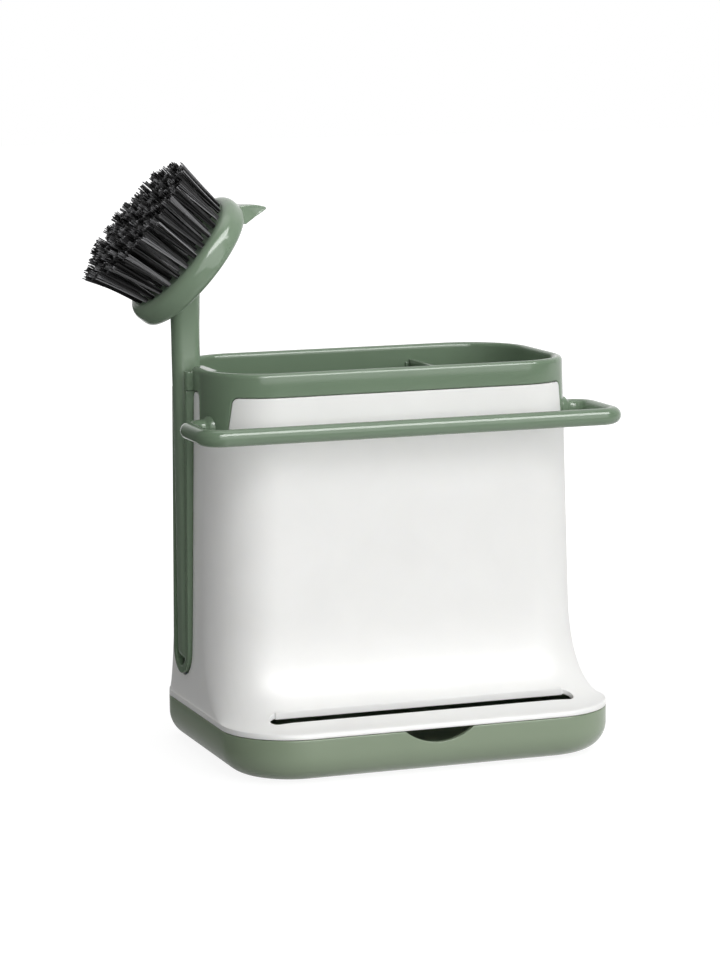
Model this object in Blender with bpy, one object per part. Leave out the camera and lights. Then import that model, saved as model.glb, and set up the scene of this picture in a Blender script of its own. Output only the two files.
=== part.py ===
"""Sink organizer: a drip tray, a lift-off shell and a basket insert with a towel rail,
a divider and a dish brush that stands in its own channel.

Metres, +Z up. The origin is the middle of the tray's flat underside, and -Y is the front.
"""

from math import asin, cos, pi, radians, sin, sqrt

import bmesh
import bpy
from mathutils import Matrix, Vector
from mathutils.geometry import delaunay_2d_cdt

# Clearances
SEAM = 0.0003
SLIDE_FIT = 0.0004

# Footprint, shared by the tray and the foot of the shell
BASE_WIDTH = 0.185
BASE_DEPTH = 0.1393
BASE_FRONT_RADIUS = 0.0332
BASE_BACK_RADIUS = 0.027

# Drip tray
TRAY_HEIGHT = 0.020
TRAY_WALL = 0.0026
TRAY_FLOOR = 0.0024
TRAY_EDGE_RADIUS = 0.0125
LOCATING_LIP_HEIGHT = 0.003
LOCATING_LIP_WALL = 0.0014
NOTCH_WIDTH = 0.033
NOTCH_DEPTH = 0.006

# Feet
FOOT_RADIUS = 0.006
FOOT_RECESS = 0.0008
FOOT_STANDOFF = 0.001

# Shell
SHELL_WALL = 0.0020
COLUMN_INSET = 0.0055
COLUMN_WIDTH = BASE_WIDTH - 2 * COLUMN_INSET
COLUMN_SETBACK = 0.30 * BASE_DEPTH
COLUMN_BACK_LEAN = 0.0027
COLUMN_FRONT_RADIUS = 0.2046 * BASE_DEPTH
COLUMN_BACK_RADIUS = 0.2369 * BASE_DEPTH
SIDE_FLARE = 0.0017
LEDGE_RISE = 0.0027
LEDGE_HEIGHT = TRAY_HEIGHT + LEDGE_RISE
FLARE_RISE = 0.0433
FLARE_TOP = LEDGE_HEIGHT + FLARE_RISE
LEDGE_EDGE_RADIUS = 0.0023
FLARE_POWER = 2.34
DRAIN_SLOT_MARGIN = 0.019
DRAIN_SLOT_LENGTH = BASE_WIDTH - 2 * DRAIN_SLOT_MARGIN
DRAIN_SLOT_WIDTH = 0.0078
DRAIN_SLOT_FROM_FRONT = 0.0211

# Rim band and the two tabs that carry the rail
RIM_TOP = 0.1788
BAND_HEIGHT = 0.0108
BAND_BOTTOM = RIM_TOP - BAND_HEIGHT
CREST_HEIGHT = 0.0022
TAB_HEIGHT = 0.0313
TAB_BOTTOM = RIM_TOP - TAB_HEIGHT
TAB_FRONT_ANGLE = radians(47.0)
TAB_FRONT_SLANT = radians(4.5)
TAB_SIDE_LENGTH = 0.00515
TAB_BACK_Y = COLUMN_SETBACK + COLUMN_FRONT_RADIUS + TAB_SIDE_LENGTH - BASE_DEPTH / 2
TAB_BACK_SLANT = 0.0006
TAB_CORNER_RADIUS = 0.003

# Basket
BASKET_WALL = 0.002
BASKET_DRAFT = 0.012
BASKET_ABOVE_TRAY = 0.024
BASKET_BOTTOM = TRAY_HEIGHT + BASKET_ABOVE_TRAY
BASKET_FLOOR = 0.0022
BASKET_BOTTOM_RADIUS = 0.005
DRAIN_HOLE_WIDTH = 0.003
DRAIN_HOLE_LENGTH = 0.046
DRAIN_HOLE_PITCH = 0.0105
DRAIN_HOLE_MARGIN = 0.012

# Towel rail
RAIL_RADIUS = 0.0039
RAIL_ABOVE_TAB_FOOT = 0.0059
RAIL_HEIGHT = TAB_BOTTOM + RAIL_ABOVE_TAB_FOOT
RAIL_SIDE_REACH = 0.0151
RAIL_WIDTH = COLUMN_WIDTH + 2 * RAIL_SIDE_REACH
RAIL_REACH = 0.0168
RAIL_FRONT_BEND = 0.008
RAIL_ROOT_BEND = 0.56 * RAIL_SIDE_REACH
RAIL_ROOT_FROM_TAB_BACK = 0.0118
RAIL_ROOT_Y = TAB_BACK_Y - RAIL_ROOT_FROM_TAB_BACK
RAIL_ROOT_FLARE = 1.35
RAIL_ROOT_SHARE = 0.9

# Divider and its guide ribs
DIVIDER_X = 0.21 * COLUMN_WIDTH
DIVIDER_THICKNESS = 0.002
DIVIDER_BELOW_RIM = 0.0068
DIVIDER_TOP = RIM_TOP - DIVIDER_BELOW_RIM
GUIDE_WIDTH = 0.0015
GUIDE_HEIGHT = 0.0017

# Brush channel and the slot in the shell's left wall
CHANNEL_WIDTH = 0.023
CHANNEL_WALL = 0.0018
CHANNEL_SLOT_GAP = 0.0009
SHELL_FINGER_WIDTH = 0.0088
CHANNEL_Y = TAB_BACK_Y + SHELL_FINGER_WIDTH + CHANNEL_SLOT_GAP + CHANNEL_WIDTH / 2
CHANNEL_DEPTH = 0.0132
CHANNEL_STANDOUT = 0.0034
CHANNEL_LEAN = 0.0135
CHANNEL_LIP_X = -COLUMN_WIDTH / 2 - CHANNEL_STANDOUT
CHANNEL_BACK_X = CHANNEL_LIP_X + CHANNEL_DEPTH
CHANNEL_MOUTH = 0.0162
CHANNEL_MOUTH_DEPTH = 0.0016
SLOT_ABOVE_TRAY = 0.0137
SLOT_BOTTOM = TRAY_HEIGHT + SLOT_ABOVE_TRAY
SLOT_MOUTH_RADIUS = 0.003
COLLAR_TOP = RIM_TOP - CREST_HEIGHT

# Brush
GRIP_WIDTH = 0.0136
GRIP_DEPTH = 0.0117
NECK_WIDTH = 0.0105
NECK_DEPTH = 0.0127
HANDLE_CORNER = 0.0026
NECK_SWELL_START = 1.02
NECK_SWELL = 1.14
GRIP_BEHIND_LIP = 0.0039
HANDLE_GRIP_X = CHANNEL_LIP_X + GRIP_BEHIND_LIP
NECK_OFFSET = 0.0006
HANDLE_NECK_X = HANDLE_GRIP_X - NECK_OFFSET
BEND_BELOW_RIM = 0.0538
HANDLE_BEND_LOW = RIM_TOP - BEND_BELOW_RIM
BEND_ABOVE_RIM = 0.0112
HANDLE_BEND_HIGH = RIM_TOP + BEND_ABOVE_RIM
HEAD_RADIUS = 0.0333
HEAD_DEPTH = 0.0125
HEAD_BULGE = 0.0020
HEAD_WIDEST_SHARE = 0.3
HEAD_BACK_POWER = 4.0
HEAD_OFFSET = 0.0015
HEAD_X = HANDLE_GRIP_X - HEAD_OFFSET
HEAD_ABOVE_RIM = 0.0500
HEAD_Z = RIM_TOP + HEAD_ABOVE_RIM
HEAD_TILT = radians(40.0)
SCRAPER_WIDTH = 0.017
SCRAPER_REACH = 0.0058
SCRAPER_EDGE = 0.0009
SCRAPER_BURIED = 0.0085
SCRAPER_SHOULDER = 0.0011
SCRAPER_ROOT_TOP = 0.0096
SCRAPER_HEEL = 0.0058
SCRAPER_HEEL_DEPTH = 0.0140
SCRAPER_TIP_DEPTH = 0.0167

# Bristles
BRISTLE_BED_RADIUS = 0.0314
BRISTLE_BED_DEPTH = 0.0018
BRISTLE_LENGTH = 0.0285
BRISTLE_SPLAY = 1.065
STRAND_SIDE = 0.0010
STRAND_UNEVENNESS = 0.05
STRAND_SCATTER = 12.9898
STRANDS_PER_TUFT = 6
TUFT_RADIUS = 0.00125
TUFT_TIP_RADIUS = 0.0026
TUFT_RINGS = ((0.0291, 26), (0.0227, 20), (0.0163, 14), (0.0099, 9), (0.0037, 3))

# Colours, linear
GREEN = (0.216, 0.292, 0.195)
WHITE = (0.86, 0.86, 0.85)
BLACK = (0.022, 0.022, 0.024)
RUBBER = (0.045, 0.045, 0.043)


def clear_scene():
    for item in list(bpy.data.objects):
        bpy.data.objects.remove(item, do_unlink=True)


def plastic(name, colour, roughness):
    material = bpy.data.materials.new(name)
    material.use_nodes = True
    shader = material.node_tree.nodes["Principled BSDF"]
    shader.inputs["Base Color"].default_value = (*colour, 1.0)
    shader.inputs["Roughness"].default_value = roughness
    shader.inputs["Metallic"].default_value = 0.0
    material.diffuse_color = (*colour, 1.0)
    return material


def add_object(name, mesh, material=None, sharp_angle=radians(32)):
    mesh.shade_smooth()
    mesh.set_sharp_from_angle(angle=sharp_angle)
    item = bpy.data.objects.new(name, mesh)
    bpy.context.scene.collection.objects.link(item)
    if material:
        mesh.materials.append(material)
    return item


def boolean(target, shape, operation="DIFFERENCE"):
    """Cut one shape out of a piece, or join it on, and keep the shape as a wire guide."""
    modifier = target.modifiers.new(shape.name, "BOOLEAN")
    modifier.operation = operation
    modifier.solver = "EXACT"
    modifier.object = shape
    shape.hide_render = True
    shape.display_type = "WIRE"
    shape.parent = target


def loft_mesh(name, rings, closed=True):
    """Skin a stack of rings that have equally many points, capping both ends if closed."""
    shape = bmesh.new()
    loops = [[shape.verts.new(point) for point in ring] for ring in rings]
    count = len(rings[0])
    for low, high in zip(loops, loops[1:]):
        for i in range(count):
            j = (i + 1) % count
            shape.faces.new((low[i], low[j], high[j], high[i]))
    if closed:
        shape.faces.new(list(reversed(loops[0])))
        shape.faces.new(loops[-1])
        bmesh.ops.recalc_face_normals(shape, faces=shape.faces)
    mesh = bpy.data.meshes.new(name)
    shape.to_mesh(mesh)
    shape.free()
    return mesh


def prism(name, outline, axis, low, high):
    """Extrude a flat outline along X (outline in Y, Z), Y (X, Z) or Z (X, Y)."""
    place = {
        "X": lambda a, b, depth: Vector((depth, a, b)),
        "Y": lambda a, b, depth: Vector((a, depth, b)),
        "Z": lambda a, b, depth: Vector((a, b, depth)),
    }[axis]
    rings = [[place(a, b, depth) for a, b in outline] for depth in (low, high)]
    return add_object(name, loft_mesh(name, rings))


def rounded_rectangle(centre_a, centre_b, width, height, radius, steps=3):
    """Outline of a rectangle with round corners, anticlockwise."""
    points = []
    for quarter, (side_a, side_b) in enumerate(((1, 1), (-1, 1), (-1, -1), (1, -1))):
        corner_a = centre_a + side_a * (width / 2 - radius)
        corner_b = centre_b + side_b * (height / 2 - radius)
        for step in range(steps + 1):
            angle = (quarter + step / steps) * pi / 2
            points.append((corner_a + radius * cos(angle), corner_b + radius * sin(angle)))
    return points


def circle(radius, sides):
    return [(radius * cos(2 * pi * i / sides), radius * sin(2 * pi * i / sides)) for i in range(sides)]


def steps_to(count, end=1.0):
    """Even steps from 0 to the end value, both included."""
    return [end * i / count for i in range(count + 1)]


# The outer surface that the shell, the rim band and the tabs share

def side_draft():
    return (BASE_WIDTH / 2 - SIDE_FLARE - COLUMN_WIDTH / 2) / (RIM_TOP - TRAY_HEIGHT)


def outer_size(z, flare=0.0, edge=0.0):
    """Half width, front Y, back Y, front radius and back radius of the outer surface."""
    lift = (z - TRAY_HEIGHT) / (RIM_TOP - TRAY_HEIGHT)
    half_width = COLUMN_WIDTH / 2 + (RIM_TOP - z) * side_draft() + SIDE_FLARE * flare
    front = -BASE_DEPTH / 2 + LEDGE_EDGE_RADIUS * (1 - edge)
    front += (COLUMN_SETBACK - LEDGE_EDGE_RADIUS) * (1 - flare)
    back = BASE_DEPTH / 2 - COLUMN_BACK_LEAN * lift
    swell = BASE_FRONT_RADIUS - LEDGE_EDGE_RADIUS - COLUMN_FRONT_RADIUS
    front_radius = COLUMN_FRONT_RADIUS + swell * flare + LEDGE_EDGE_RADIUS * edge
    back_radius = BASE_BACK_RADIUS + (COLUMN_BACK_RADIUS - BASE_BACK_RADIUS) * lift
    return half_width, front, back, front_radius, back_radius


def ring_point(station, size, inset):
    """A station is an angle round a corner, or a Y along the side wall."""
    kind, value = station
    half_width, front, back, front_radius, back_radius = size
    if kind == "front":
        radius = front_radius - inset
        return (half_width - front_radius + radius * sin(value), front + front_radius - radius * cos(value))
    if kind == "back":
        radius = back_radius - inset
        return (half_width - back_radius + radius * cos(value), back - back_radius + radius * sin(value))
    return (half_width - inset, value)


def ring(stations, sizes, insets, heights):
    """A closed ring: the stations run up the right side and back down the left."""
    right = []
    for index, station in enumerate(stations):
        x, y = ring_point(station, sizes[index], insets[index])
        right.append(Vector((x, y, heights[index])))
    left = [Vector((-point.x, point.y, point.z)) for point in reversed(right)]
    return right + left


def level_ring(stations, z, inset=0.0, flare=0.0, edge=0.0):
    count = len(stations)
    return ring(stations, [outer_size(z, flare, edge)] * count, [inset] * count, [z] * count)


def top_edge(gap):
    """Stations and heights of the line where the white shell meets the green band and tabs.

    The gap moves the line towards the shell, so the two pieces never touch.
    """
    turn = gap / COLUMN_FRONT_RADIUS
    corner = TAB_CORNER_RADIUS
    corner_turn = corner / COLUMN_FRONT_RADIUS
    band = BAND_BOTTOM - gap
    foot = TAB_BOTTOM - gap
    low_angle = TAB_FRONT_ANGLE + TAB_FRONT_SLANT
    line = [(("front", radians(angle)), band) for angle in (0, 13, 26)]
    for bend in steps_to(3, pi / 2):
        angle = TAB_FRONT_ANGLE - turn - corner_turn * (1 - sin(bend))
        line.append((("front", angle), band - corner * (1 - cos(bend))))
    for bend in steps_to(3, pi / 2):
        angle = low_angle - turn + corner_turn * (1 - cos(bend))
        line.append((("front", angle), foot + corner * (1 - sin(bend))))
    line += [(("front", radians(angle)), foot) for angle in (68, 79, 90)]
    low_y = TAB_BACK_Y + gap - TAB_BACK_SLANT
    for bend in steps_to(3, pi / 2):
        y = low_y - corner * (1 - sin(bend))
        line.append((("side", y), foot + corner * (1 - cos(bend))))
    for bend in steps_to(3, pi / 2):
        y = TAB_BACK_Y + gap + TAB_BACK_SLANT + corner * (1 - cos(bend))
        line.append((("side", y), band - corner * (1 - sin(bend))))
    line += [(("back", radians(angle)), band) for angle in range(0, 91, 15)]
    return line


def edge_ring(line, inset_at):
    stations = [station for station, _ in line]
    heights = [height for _, height in line]
    sizes = [outer_size(height) for height in heights]
    return ring(stations, sizes, [inset_at(height) for height in heights], heights)


# Drip tray and feet

def tray_stations():
    front = [("front", radians(angle)) for angle in range(0, 91, 10)]
    side = [("side", TAB_BACK_Y), ("side", TAB_BACK_Y + LOCATING_LIP_HEIGHT)]
    back = [("back", radians(angle)) for angle in range(0, 91, 10)]
    return front + side + back


def tray_ring(z, inset, lip_inset=None, lip_height=0.0):
    """A ring of the tray; the locating lip stands only on the side and back walls."""
    stations = tray_stations()
    start = stations.index(("side", TAB_BACK_Y + LOCATING_LIP_HEIGHT))
    size = (BASE_WIDTH / 2, -BASE_DEPTH / 2, BASE_DEPTH / 2, BASE_FRONT_RADIUS, BASE_BACK_RADIUS)
    insets = []
    heights = []
    for index in range(len(stations)):
        on_lip = index >= start
        insets.append(lip_inset if on_lip and lip_inset is not None else inset)
        heights.append(z + (lip_height if on_lip else 0.0))
    return ring(stations, [size] * len(stations), insets, heights)


def foot_positions():
    x = BASE_WIDTH / 2 - TRAY_EDGE_RADIUS - FOOT_RADIUS
    front_y = -BASE_DEPTH / 2 + BASE_FRONT_RADIUS - SEAM
    back_y = BASE_DEPTH / 2 - BASE_BACK_RADIUS + SEAM
    return {
        "foot_front_left": (-x, front_y),
        "foot_front_right": (x, front_y),
        "foot_back_left": (-x, back_y),
        "foot_back_right": (x, back_y),
    }


def disc(name, x, y, radius, low, high, material=None, sides=28):
    outline = [(x + dx, y + dy) for dx, dy in circle(radius, sides)]
    item = prism(name, outline, "Z", low, high)
    if material:
        item.data.materials.append(material)
    return item


def make_tray(material):
    rings = []
    for turn in steps_to(4, pi / 2):
        inset = TRAY_EDGE_RADIUS * (1 - sin(turn))
        rings.append(tray_ring(TRAY_EDGE_RADIUS * (1 - cos(turn)), inset))
    lip = TRAY_WALL + LOCATING_LIP_WALL
    shoulder = SHELL_WALL + SLIDE_FIT
    rings.append(tray_ring(TRAY_HEIGHT, 0.0))
    rings.append(tray_ring(TRAY_HEIGHT, TRAY_WALL - 2 * SEAM, shoulder))
    rings.append(tray_ring(TRAY_HEIGHT, TRAY_WALL - SEAM, shoulder + SEAM, LOCATING_LIP_HEIGHT))
    rings.append(tray_ring(TRAY_HEIGHT, TRAY_WALL, lip, LOCATING_LIP_HEIGHT))
    inner_radius = TRAY_EDGE_RADIUS - TRAY_WALL
    rings.append(tray_ring(TRAY_HEIGHT - LOCATING_LIP_HEIGHT, TRAY_WALL, lip))
    rings.append(tray_ring(TRAY_FLOOR + inner_radius, TRAY_WALL))
    for turn in steps_to(3, pi / 2)[1:]:
        inset = TRAY_WALL + inner_radius * (1 - cos(turn))
        rings.append(tray_ring(TRAY_FLOOR + inner_radius * (1 - sin(turn)), inset))
    tray = add_object("drip_tray", loft_mesh("drip_tray", rings), material)

    notch_radius = ((NOTCH_WIDTH / 2) ** 2 + NOTCH_DEPTH ** 2) / (2 * NOTCH_DEPTH)
    centre_z = TRAY_HEIGHT - NOTCH_DEPTH + notch_radius
    half_angle = asin(NOTCH_WIDTH / 2 / notch_radius)
    arc = [(notch_radius * sin(half_angle * t), centre_z - notch_radius * cos(half_angle * t))
           for t in (-1 + i / 7 for i in range(15))]
    top = TRAY_HEIGHT + LOCATING_LIP_HEIGHT
    outline = arc + [(NOTCH_WIDTH / 2 + NOTCH_DEPTH / 4, top), (-NOTCH_WIDTH / 2 - NOTCH_DEPTH / 4, top)]
    front = -BASE_DEPTH / 2
    boolean(tray, prism("cut_notch", outline, "Y", front - TRAY_WALL, front + 2 * TRAY_WALL))

    for name, (x, y) in foot_positions().items():
        boolean(tray, disc("recess_" + name, x, y, FOOT_RADIUS + SEAM, -TRAY_FLOOR, FOOT_RECESS))
    return tray


def make_feet(material):
    feet = []
    for name, (x, y) in foot_positions().items():
        feet.append(disc(name, x, y, FOOT_RADIUS, -FOOT_STANDOFF, FOOT_RECESS - SEAM, material))
    return feet


# Body shell

def slot_half_width():
    return CHANNEL_WIDTH / 2 + CHANNEL_SLOT_GAP


def upright_slot(half_width, centre_z, top, steps=12):
    """Outline in Y and Z of a slot with a half-round bottom, open at the top."""
    arc = []
    for i in range(steps + 1):
        angle = pi + pi * i / steps
        arc.append((CHANNEL_Y + half_width * cos(angle), centre_z + half_width * sin(angle)))
    return arc + [(CHANNEL_Y + half_width, top), (CHANNEL_Y - half_width, top)]


def slot_centre_z():
    return SLOT_BOTTOM + slot_half_width()


def mouth_outline():
    """The slot's outline with its top corners rounded away, so the shell's finger ends round."""
    half = slot_half_width()
    top = BAND_BOTTOM - SEAM
    outline = upright_slot(half, slot_centre_z(), top)[:-2]
    right = []
    for turn in steps_to(4, pi / 2):
        offset = half + SLOT_MOUTH_RADIUS * (1 - cos(turn))
        right.append((offset, top - SLOT_MOUTH_RADIUS * (1 - sin(turn))))
    right.append((half + SLOT_MOUTH_RADIUS, RIM_TOP))
    outline += [(CHANNEL_Y + offset, z) for offset, z in right]
    outline += [(CHANNEL_Y - offset, z) for offset, z in reversed(right)]
    return outline


def make_shell(material):
    line = top_edge(SEAM)
    stations = [station for station, _ in line]
    rings = [level_ring(stations, TRAY_HEIGHT + SEAM, 0.0, 1.0, 1.0)]
    for turn in steps_to(4, pi / 2):
        edge = cos(turn)
        z = LEDGE_HEIGHT - LEDGE_EDGE_RADIUS * (1 - sin(turn))
        if z > TRAY_HEIGHT + SEAM:
            rings.append(level_ring(stations, z, 0.0, 1.0, edge))
    for turn in reversed(steps_to(11, pi / 2)[:-1]):
        flare = 1 - cos(turn) ** (2 / FLARE_POWER)
        z = FLARE_TOP - (FLARE_TOP - LEDGE_HEIGHT) * sin(turn) ** (2 / FLARE_POWER)
        rings.append(level_ring(stations, z, 0.0, flare))
    rings.append(edge_ring(line, lambda z: 0.0))
    shell = add_object("body_shell", loft_mesh("body_shell", rings, closed=False), material)
    wall = shell.modifiers.new("wall", "SOLIDIFY")
    wall.thickness = SHELL_WALL
    wall.offset = -1.0
    wall.use_even_offset = True
    wall.use_quality_normals = True

    left_wall = -BASE_WIDTH / 2
    through = prism("cut_brush_slot", mouth_outline(), "X", left_wall - SHELL_WALL, CHANNEL_BACK_X)
    boolean(shell, through)
    slot_y = -BASE_DEPTH / 2 + DRAIN_SLOT_FROM_FRONT
    end_radius = (DRAIN_SLOT_WIDTH - SEAM / 2) / 2
    outline = rounded_rectangle(0.0, slot_y, DRAIN_SLOT_LENGTH, DRAIN_SLOT_WIDTH, end_radius, 5)
    boolean(shell, prism("cut_drain_slot", outline, "Z", TRAY_HEIGHT / 2, FLARE_TOP))
    return shell


# Top insert: band, tabs, basket, collar and divider guides in one moulding

def basket_inset(z):
    """How far the basket's outer wall lies inside the shell's outer surface."""
    return SHELL_WALL + SLIDE_FIT + (BAND_BOTTOM - z) * (side_draft() + BASKET_DRAFT)


def basket_ring(stations, z, inset):
    """A level ring whose back corners keep the radius of the shell's mouth, to lift out freely."""
    half_width, front, back, front_radius, _ = outer_size(z)
    size = (half_width, front, back, front_radius, outer_size(BAND_BOTTOM)[4])
    return ring(stations, [size] * len(stations), [inset] * len(stations), [z] * len(stations))


def insert_body():
    line = top_edge(0.0)
    stations = [station for station, _ in line]
    rings = []
    for turn in steps_to(2, pi / 2):
        z = BASKET_BOTTOM + BASKET_BOTTOM_RADIUS * (1 - cos(turn))
        rings.append(basket_ring(stations, z, basket_inset(z) + BASKET_BOTTOM_RADIUS * (1 - sin(turn))))
    rings.append(edge_ring(line, basket_inset))
    rings.append(edge_ring(line, lambda z: 0.0))
    rim_thickness = basket_inset(BAND_BOTTOM) + BASKET_WALL
    for turn in steps_to(6, pi):
        inset = rim_thickness / 2 * (1 - cos(turn))
        rings.append(level_ring(stations, RIM_TOP - CREST_HEIGHT * (1 - sin(turn)), inset))
    floor = BASKET_BOTTOM + BASKET_FLOOR
    inner_radius = BASKET_BOTTOM_RADIUS - BASKET_WALL
    for turn in steps_to(2, pi / 2):
        z = floor + inner_radius * (1 - sin(turn))
        inset = basket_inset(z) + BASKET_WALL + inner_radius * (1 - cos(turn))
        rings.append(basket_ring(stations, z, inset))
    return loft_mesh("top_insert", rings)


def drafted_block(name, wall_side, inner_x, low_y, high_y, low_z, high_z):
    """Upright block whose outer side is buried in the drafted left basket wall."""
    rings = []
    for z in (low_z, high_z):
        half_width = outer_size(z)[0]
        outer_x = -(half_width - basket_inset(z) - wall_side)
        centre_x = (outer_x + inner_x) / 2
        centre_y = (low_y + high_y) / 2
        outline = rounded_rectangle(centre_x, centre_y, inner_x - outer_x, high_y - low_y, CHANNEL_WALL, 3)
        rings.append([Vector((x, y, z)) for x, y in outline])
    return add_object(name, loft_mesh(name, rings))


def channel_bay(insert):
    """The bay that the basket wall forms round the brush channel, and the collar above it."""
    half = CHANNEL_WIDTH / 2
    bay_x = CHANNEL_BACK_X + SEAM
    wall_x = bay_x + CHANNEL_WALL
    bay_half = half + SEAM
    floor_top = BASKET_BOTTOM + BASKET_FLOOR / 2
    liner = drafted_block("bay_wall", BASKET_WALL / 2, wall_x, CHANNEL_Y - bay_half - CHANNEL_WALL,
                          CHANNEL_Y + bay_half + CHANNEL_WALL, floor_top, RIM_TOP - CREST_HEIGHT / 4)
    boolean(insert, liner, "UNION")
    collar_back = wall_x - SEAM
    collar_depth = collar_back - CHANNEL_LIP_X
    collar_x = CHANNEL_LIP_X + collar_depth / 2
    collar_outline = rounded_rectangle(collar_x, CHANNEL_Y, collar_depth, CHANNEL_WIDTH, CHANNEL_WALL / 2)
    collar = prism("collar", collar_outline, "Z", BAND_BOTTOM, COLLAR_TOP)
    boolean(insert, collar, "UNION")
    outside = -BASE_WIDTH
    bay = [(outside, CHANNEL_Y - bay_half), (bay_x, CHANNEL_Y - bay_half),
           (bay_x, CHANNEL_Y + bay_half), (outside, CHANNEL_Y + bay_half)]
    boolean(insert, prism("cut_bay", bay, "Z", BASKET_BOTTOM / 2, BAND_BOTTOM))
    bore_bottom = BAND_BOTTOM - CHANNEL_WALL
    boolean(insert, prism("cut_collar_bore", handle_passage(), "Z", bore_bottom, 2 * RIM_TOP))


def handle_passage():
    """Plan of the space that the handle stands in: a pocket behind a narrower mouth."""
    pocket = CHANNEL_WIDTH / 2 - CHANNEL_WALL
    mouth = CHANNEL_MOUTH / 2
    outside = -BASE_WIDTH
    back = CHANNEL_BACK_X - CHANNEL_WALL
    step = CHANNEL_LIP_X + CHANNEL_MOUTH_DEPTH
    right = [(outside, mouth), (step, mouth), (step, pocket), (back, pocket)]
    outline = [(x, CHANNEL_Y - y) for x, y in right]
    outline += [(x, CHANNEL_Y + y) for x, y in reversed(right)]
    return outline


# Towel rail, a tube that grows out of the two tabs

def rail_path():
    """Centreline of the rail from the left tab round to the right one, with a swell at each root."""
    side_x = RAIL_WIDTH / 2 - RAIL_RADIUS
    front_y = outer_size(RAIL_HEIGHT)[1] - RAIL_REACH
    wall_x = outer_size(RAIL_HEIGHT)[0]
    root_x = wall_x - SHELL_WALL
    root_length = RAIL_ROOT_SHARE * (side_x - RAIL_ROOT_BEND - wall_x)
    half = [(root_x, RAIL_ROOT_Y, RAIL_ROOT_FLARE)]
    for step in steps_to(2):
        swell = RAIL_ROOT_FLARE + (1.0 - RAIL_ROOT_FLARE) * ease(step)
        half.append((wall_x + root_length * step, RAIL_ROOT_Y, swell))
    for turn in steps_to(5, pi / 2):
        x = side_x - RAIL_ROOT_BEND * (1 - sin(turn))
        half.append((x, RAIL_ROOT_Y - RAIL_ROOT_BEND * (1 - cos(turn)), 1.0))
    for turn in steps_to(6, pi / 2):
        x = side_x - RAIL_FRONT_BEND * (1 - cos(turn))
        half.append((x, front_y + RAIL_FRONT_BEND * (1 - sin(turn)), 1.0))
    return [(-x, y, swell) for x, y, swell in half] + list(reversed(half))


def make_rail(material):
    """Sweep the tube, then trim its two roots to the tabs' curved wall, one seam away from it."""
    path = rail_path()
    curve = bpy.data.curves.new("rail_path", "CURVE")
    curve.dimensions = "3D"
    curve.bevel_depth = RAIL_RADIUS
    curve.bevel_resolution = 5
    curve.resolution_u = 1
    curve.use_fill_caps = True
    spline = curve.splines.new("POLY")
    spline.points.add(len(path) - 1)
    for point, (x, y, swell) in zip(spline.points, path):
        point.co = (x, y, RAIL_HEIGHT, 1.0)
        point.radius = swell
    guide = bpy.data.objects.new("rail_guide", curve)
    bpy.context.scene.collection.objects.link(guide)
    graph = bpy.context.evaluated_depsgraph_get()
    mesh = bpy.data.meshes.new_from_object(guide.evaluated_get(graph))
    bpy.data.objects.remove(guide, do_unlink=True)
    weld = bmesh.new()
    weld.from_mesh(mesh)
    bmesh.ops.remove_doubles(weld, verts=weld.verts, dist=SEAM / 10)
    bmesh.ops.recalc_face_normals(weld, faces=weld.faces)
    weld.to_mesh(mesh)
    weld.free()
    rail = add_object("towel_rail", mesh, material)
    stations = [station for station, _ in top_edge(0.0)]
    reach = 2 * RAIL_RADIUS * RAIL_ROOT_FLARE
    wall = [level_ring(stations, z, -SEAM) for z in (RAIL_HEIGHT - reach, RAIL_HEIGHT + reach)]
    boolean(rail, add_object("cut_rail_roots", loft_mesh("cut_rail_roots", wall)))
    return rail


def basket_inner_y(z, front):
    size = outer_size(z)
    depth = basket_inset(z) + BASKET_WALL
    return size[1] + depth if front else size[2] - depth


def guide_ribs(insert):
    """Two upright ribs on the front wall and two on the back wall hold the divider's edges."""
    spacing = DIVIDER_THICKNESS / 2 + SLIDE_FIT + GUIDE_WIDTH / 2
    floor = BASKET_BOTTOM + BASKET_FLOOR
    for front in (True, False):
        inward = 1 if front else -1
        for side in (-1, 1):
            x = DIVIDER_X + side * spacing
            rings = []
            for z in (floor - BASKET_FLOOR / 2, DIVIDER_TOP - GUIDE_HEIGHT):
                wall = basket_inner_y(z, front)
                buried = wall - inward * BASKET_WALL / 2
                face = wall + inward * GUIDE_HEIGHT
                low_y, high_y = sorted((buried, face))
                half = GUIDE_WIDTH / 2
                corners = ((-half, low_y), (half, low_y), (half, high_y), (-half, high_y))
                rings.append([Vector((x + offset, y, z)) for offset, y in corners])
            name = "guide_" + ("front_" if front else "back_") + ("left" if side < 0 else "right")
            boolean(insert, add_object(name, loft_mesh(name, rings)), "UNION")


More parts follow.
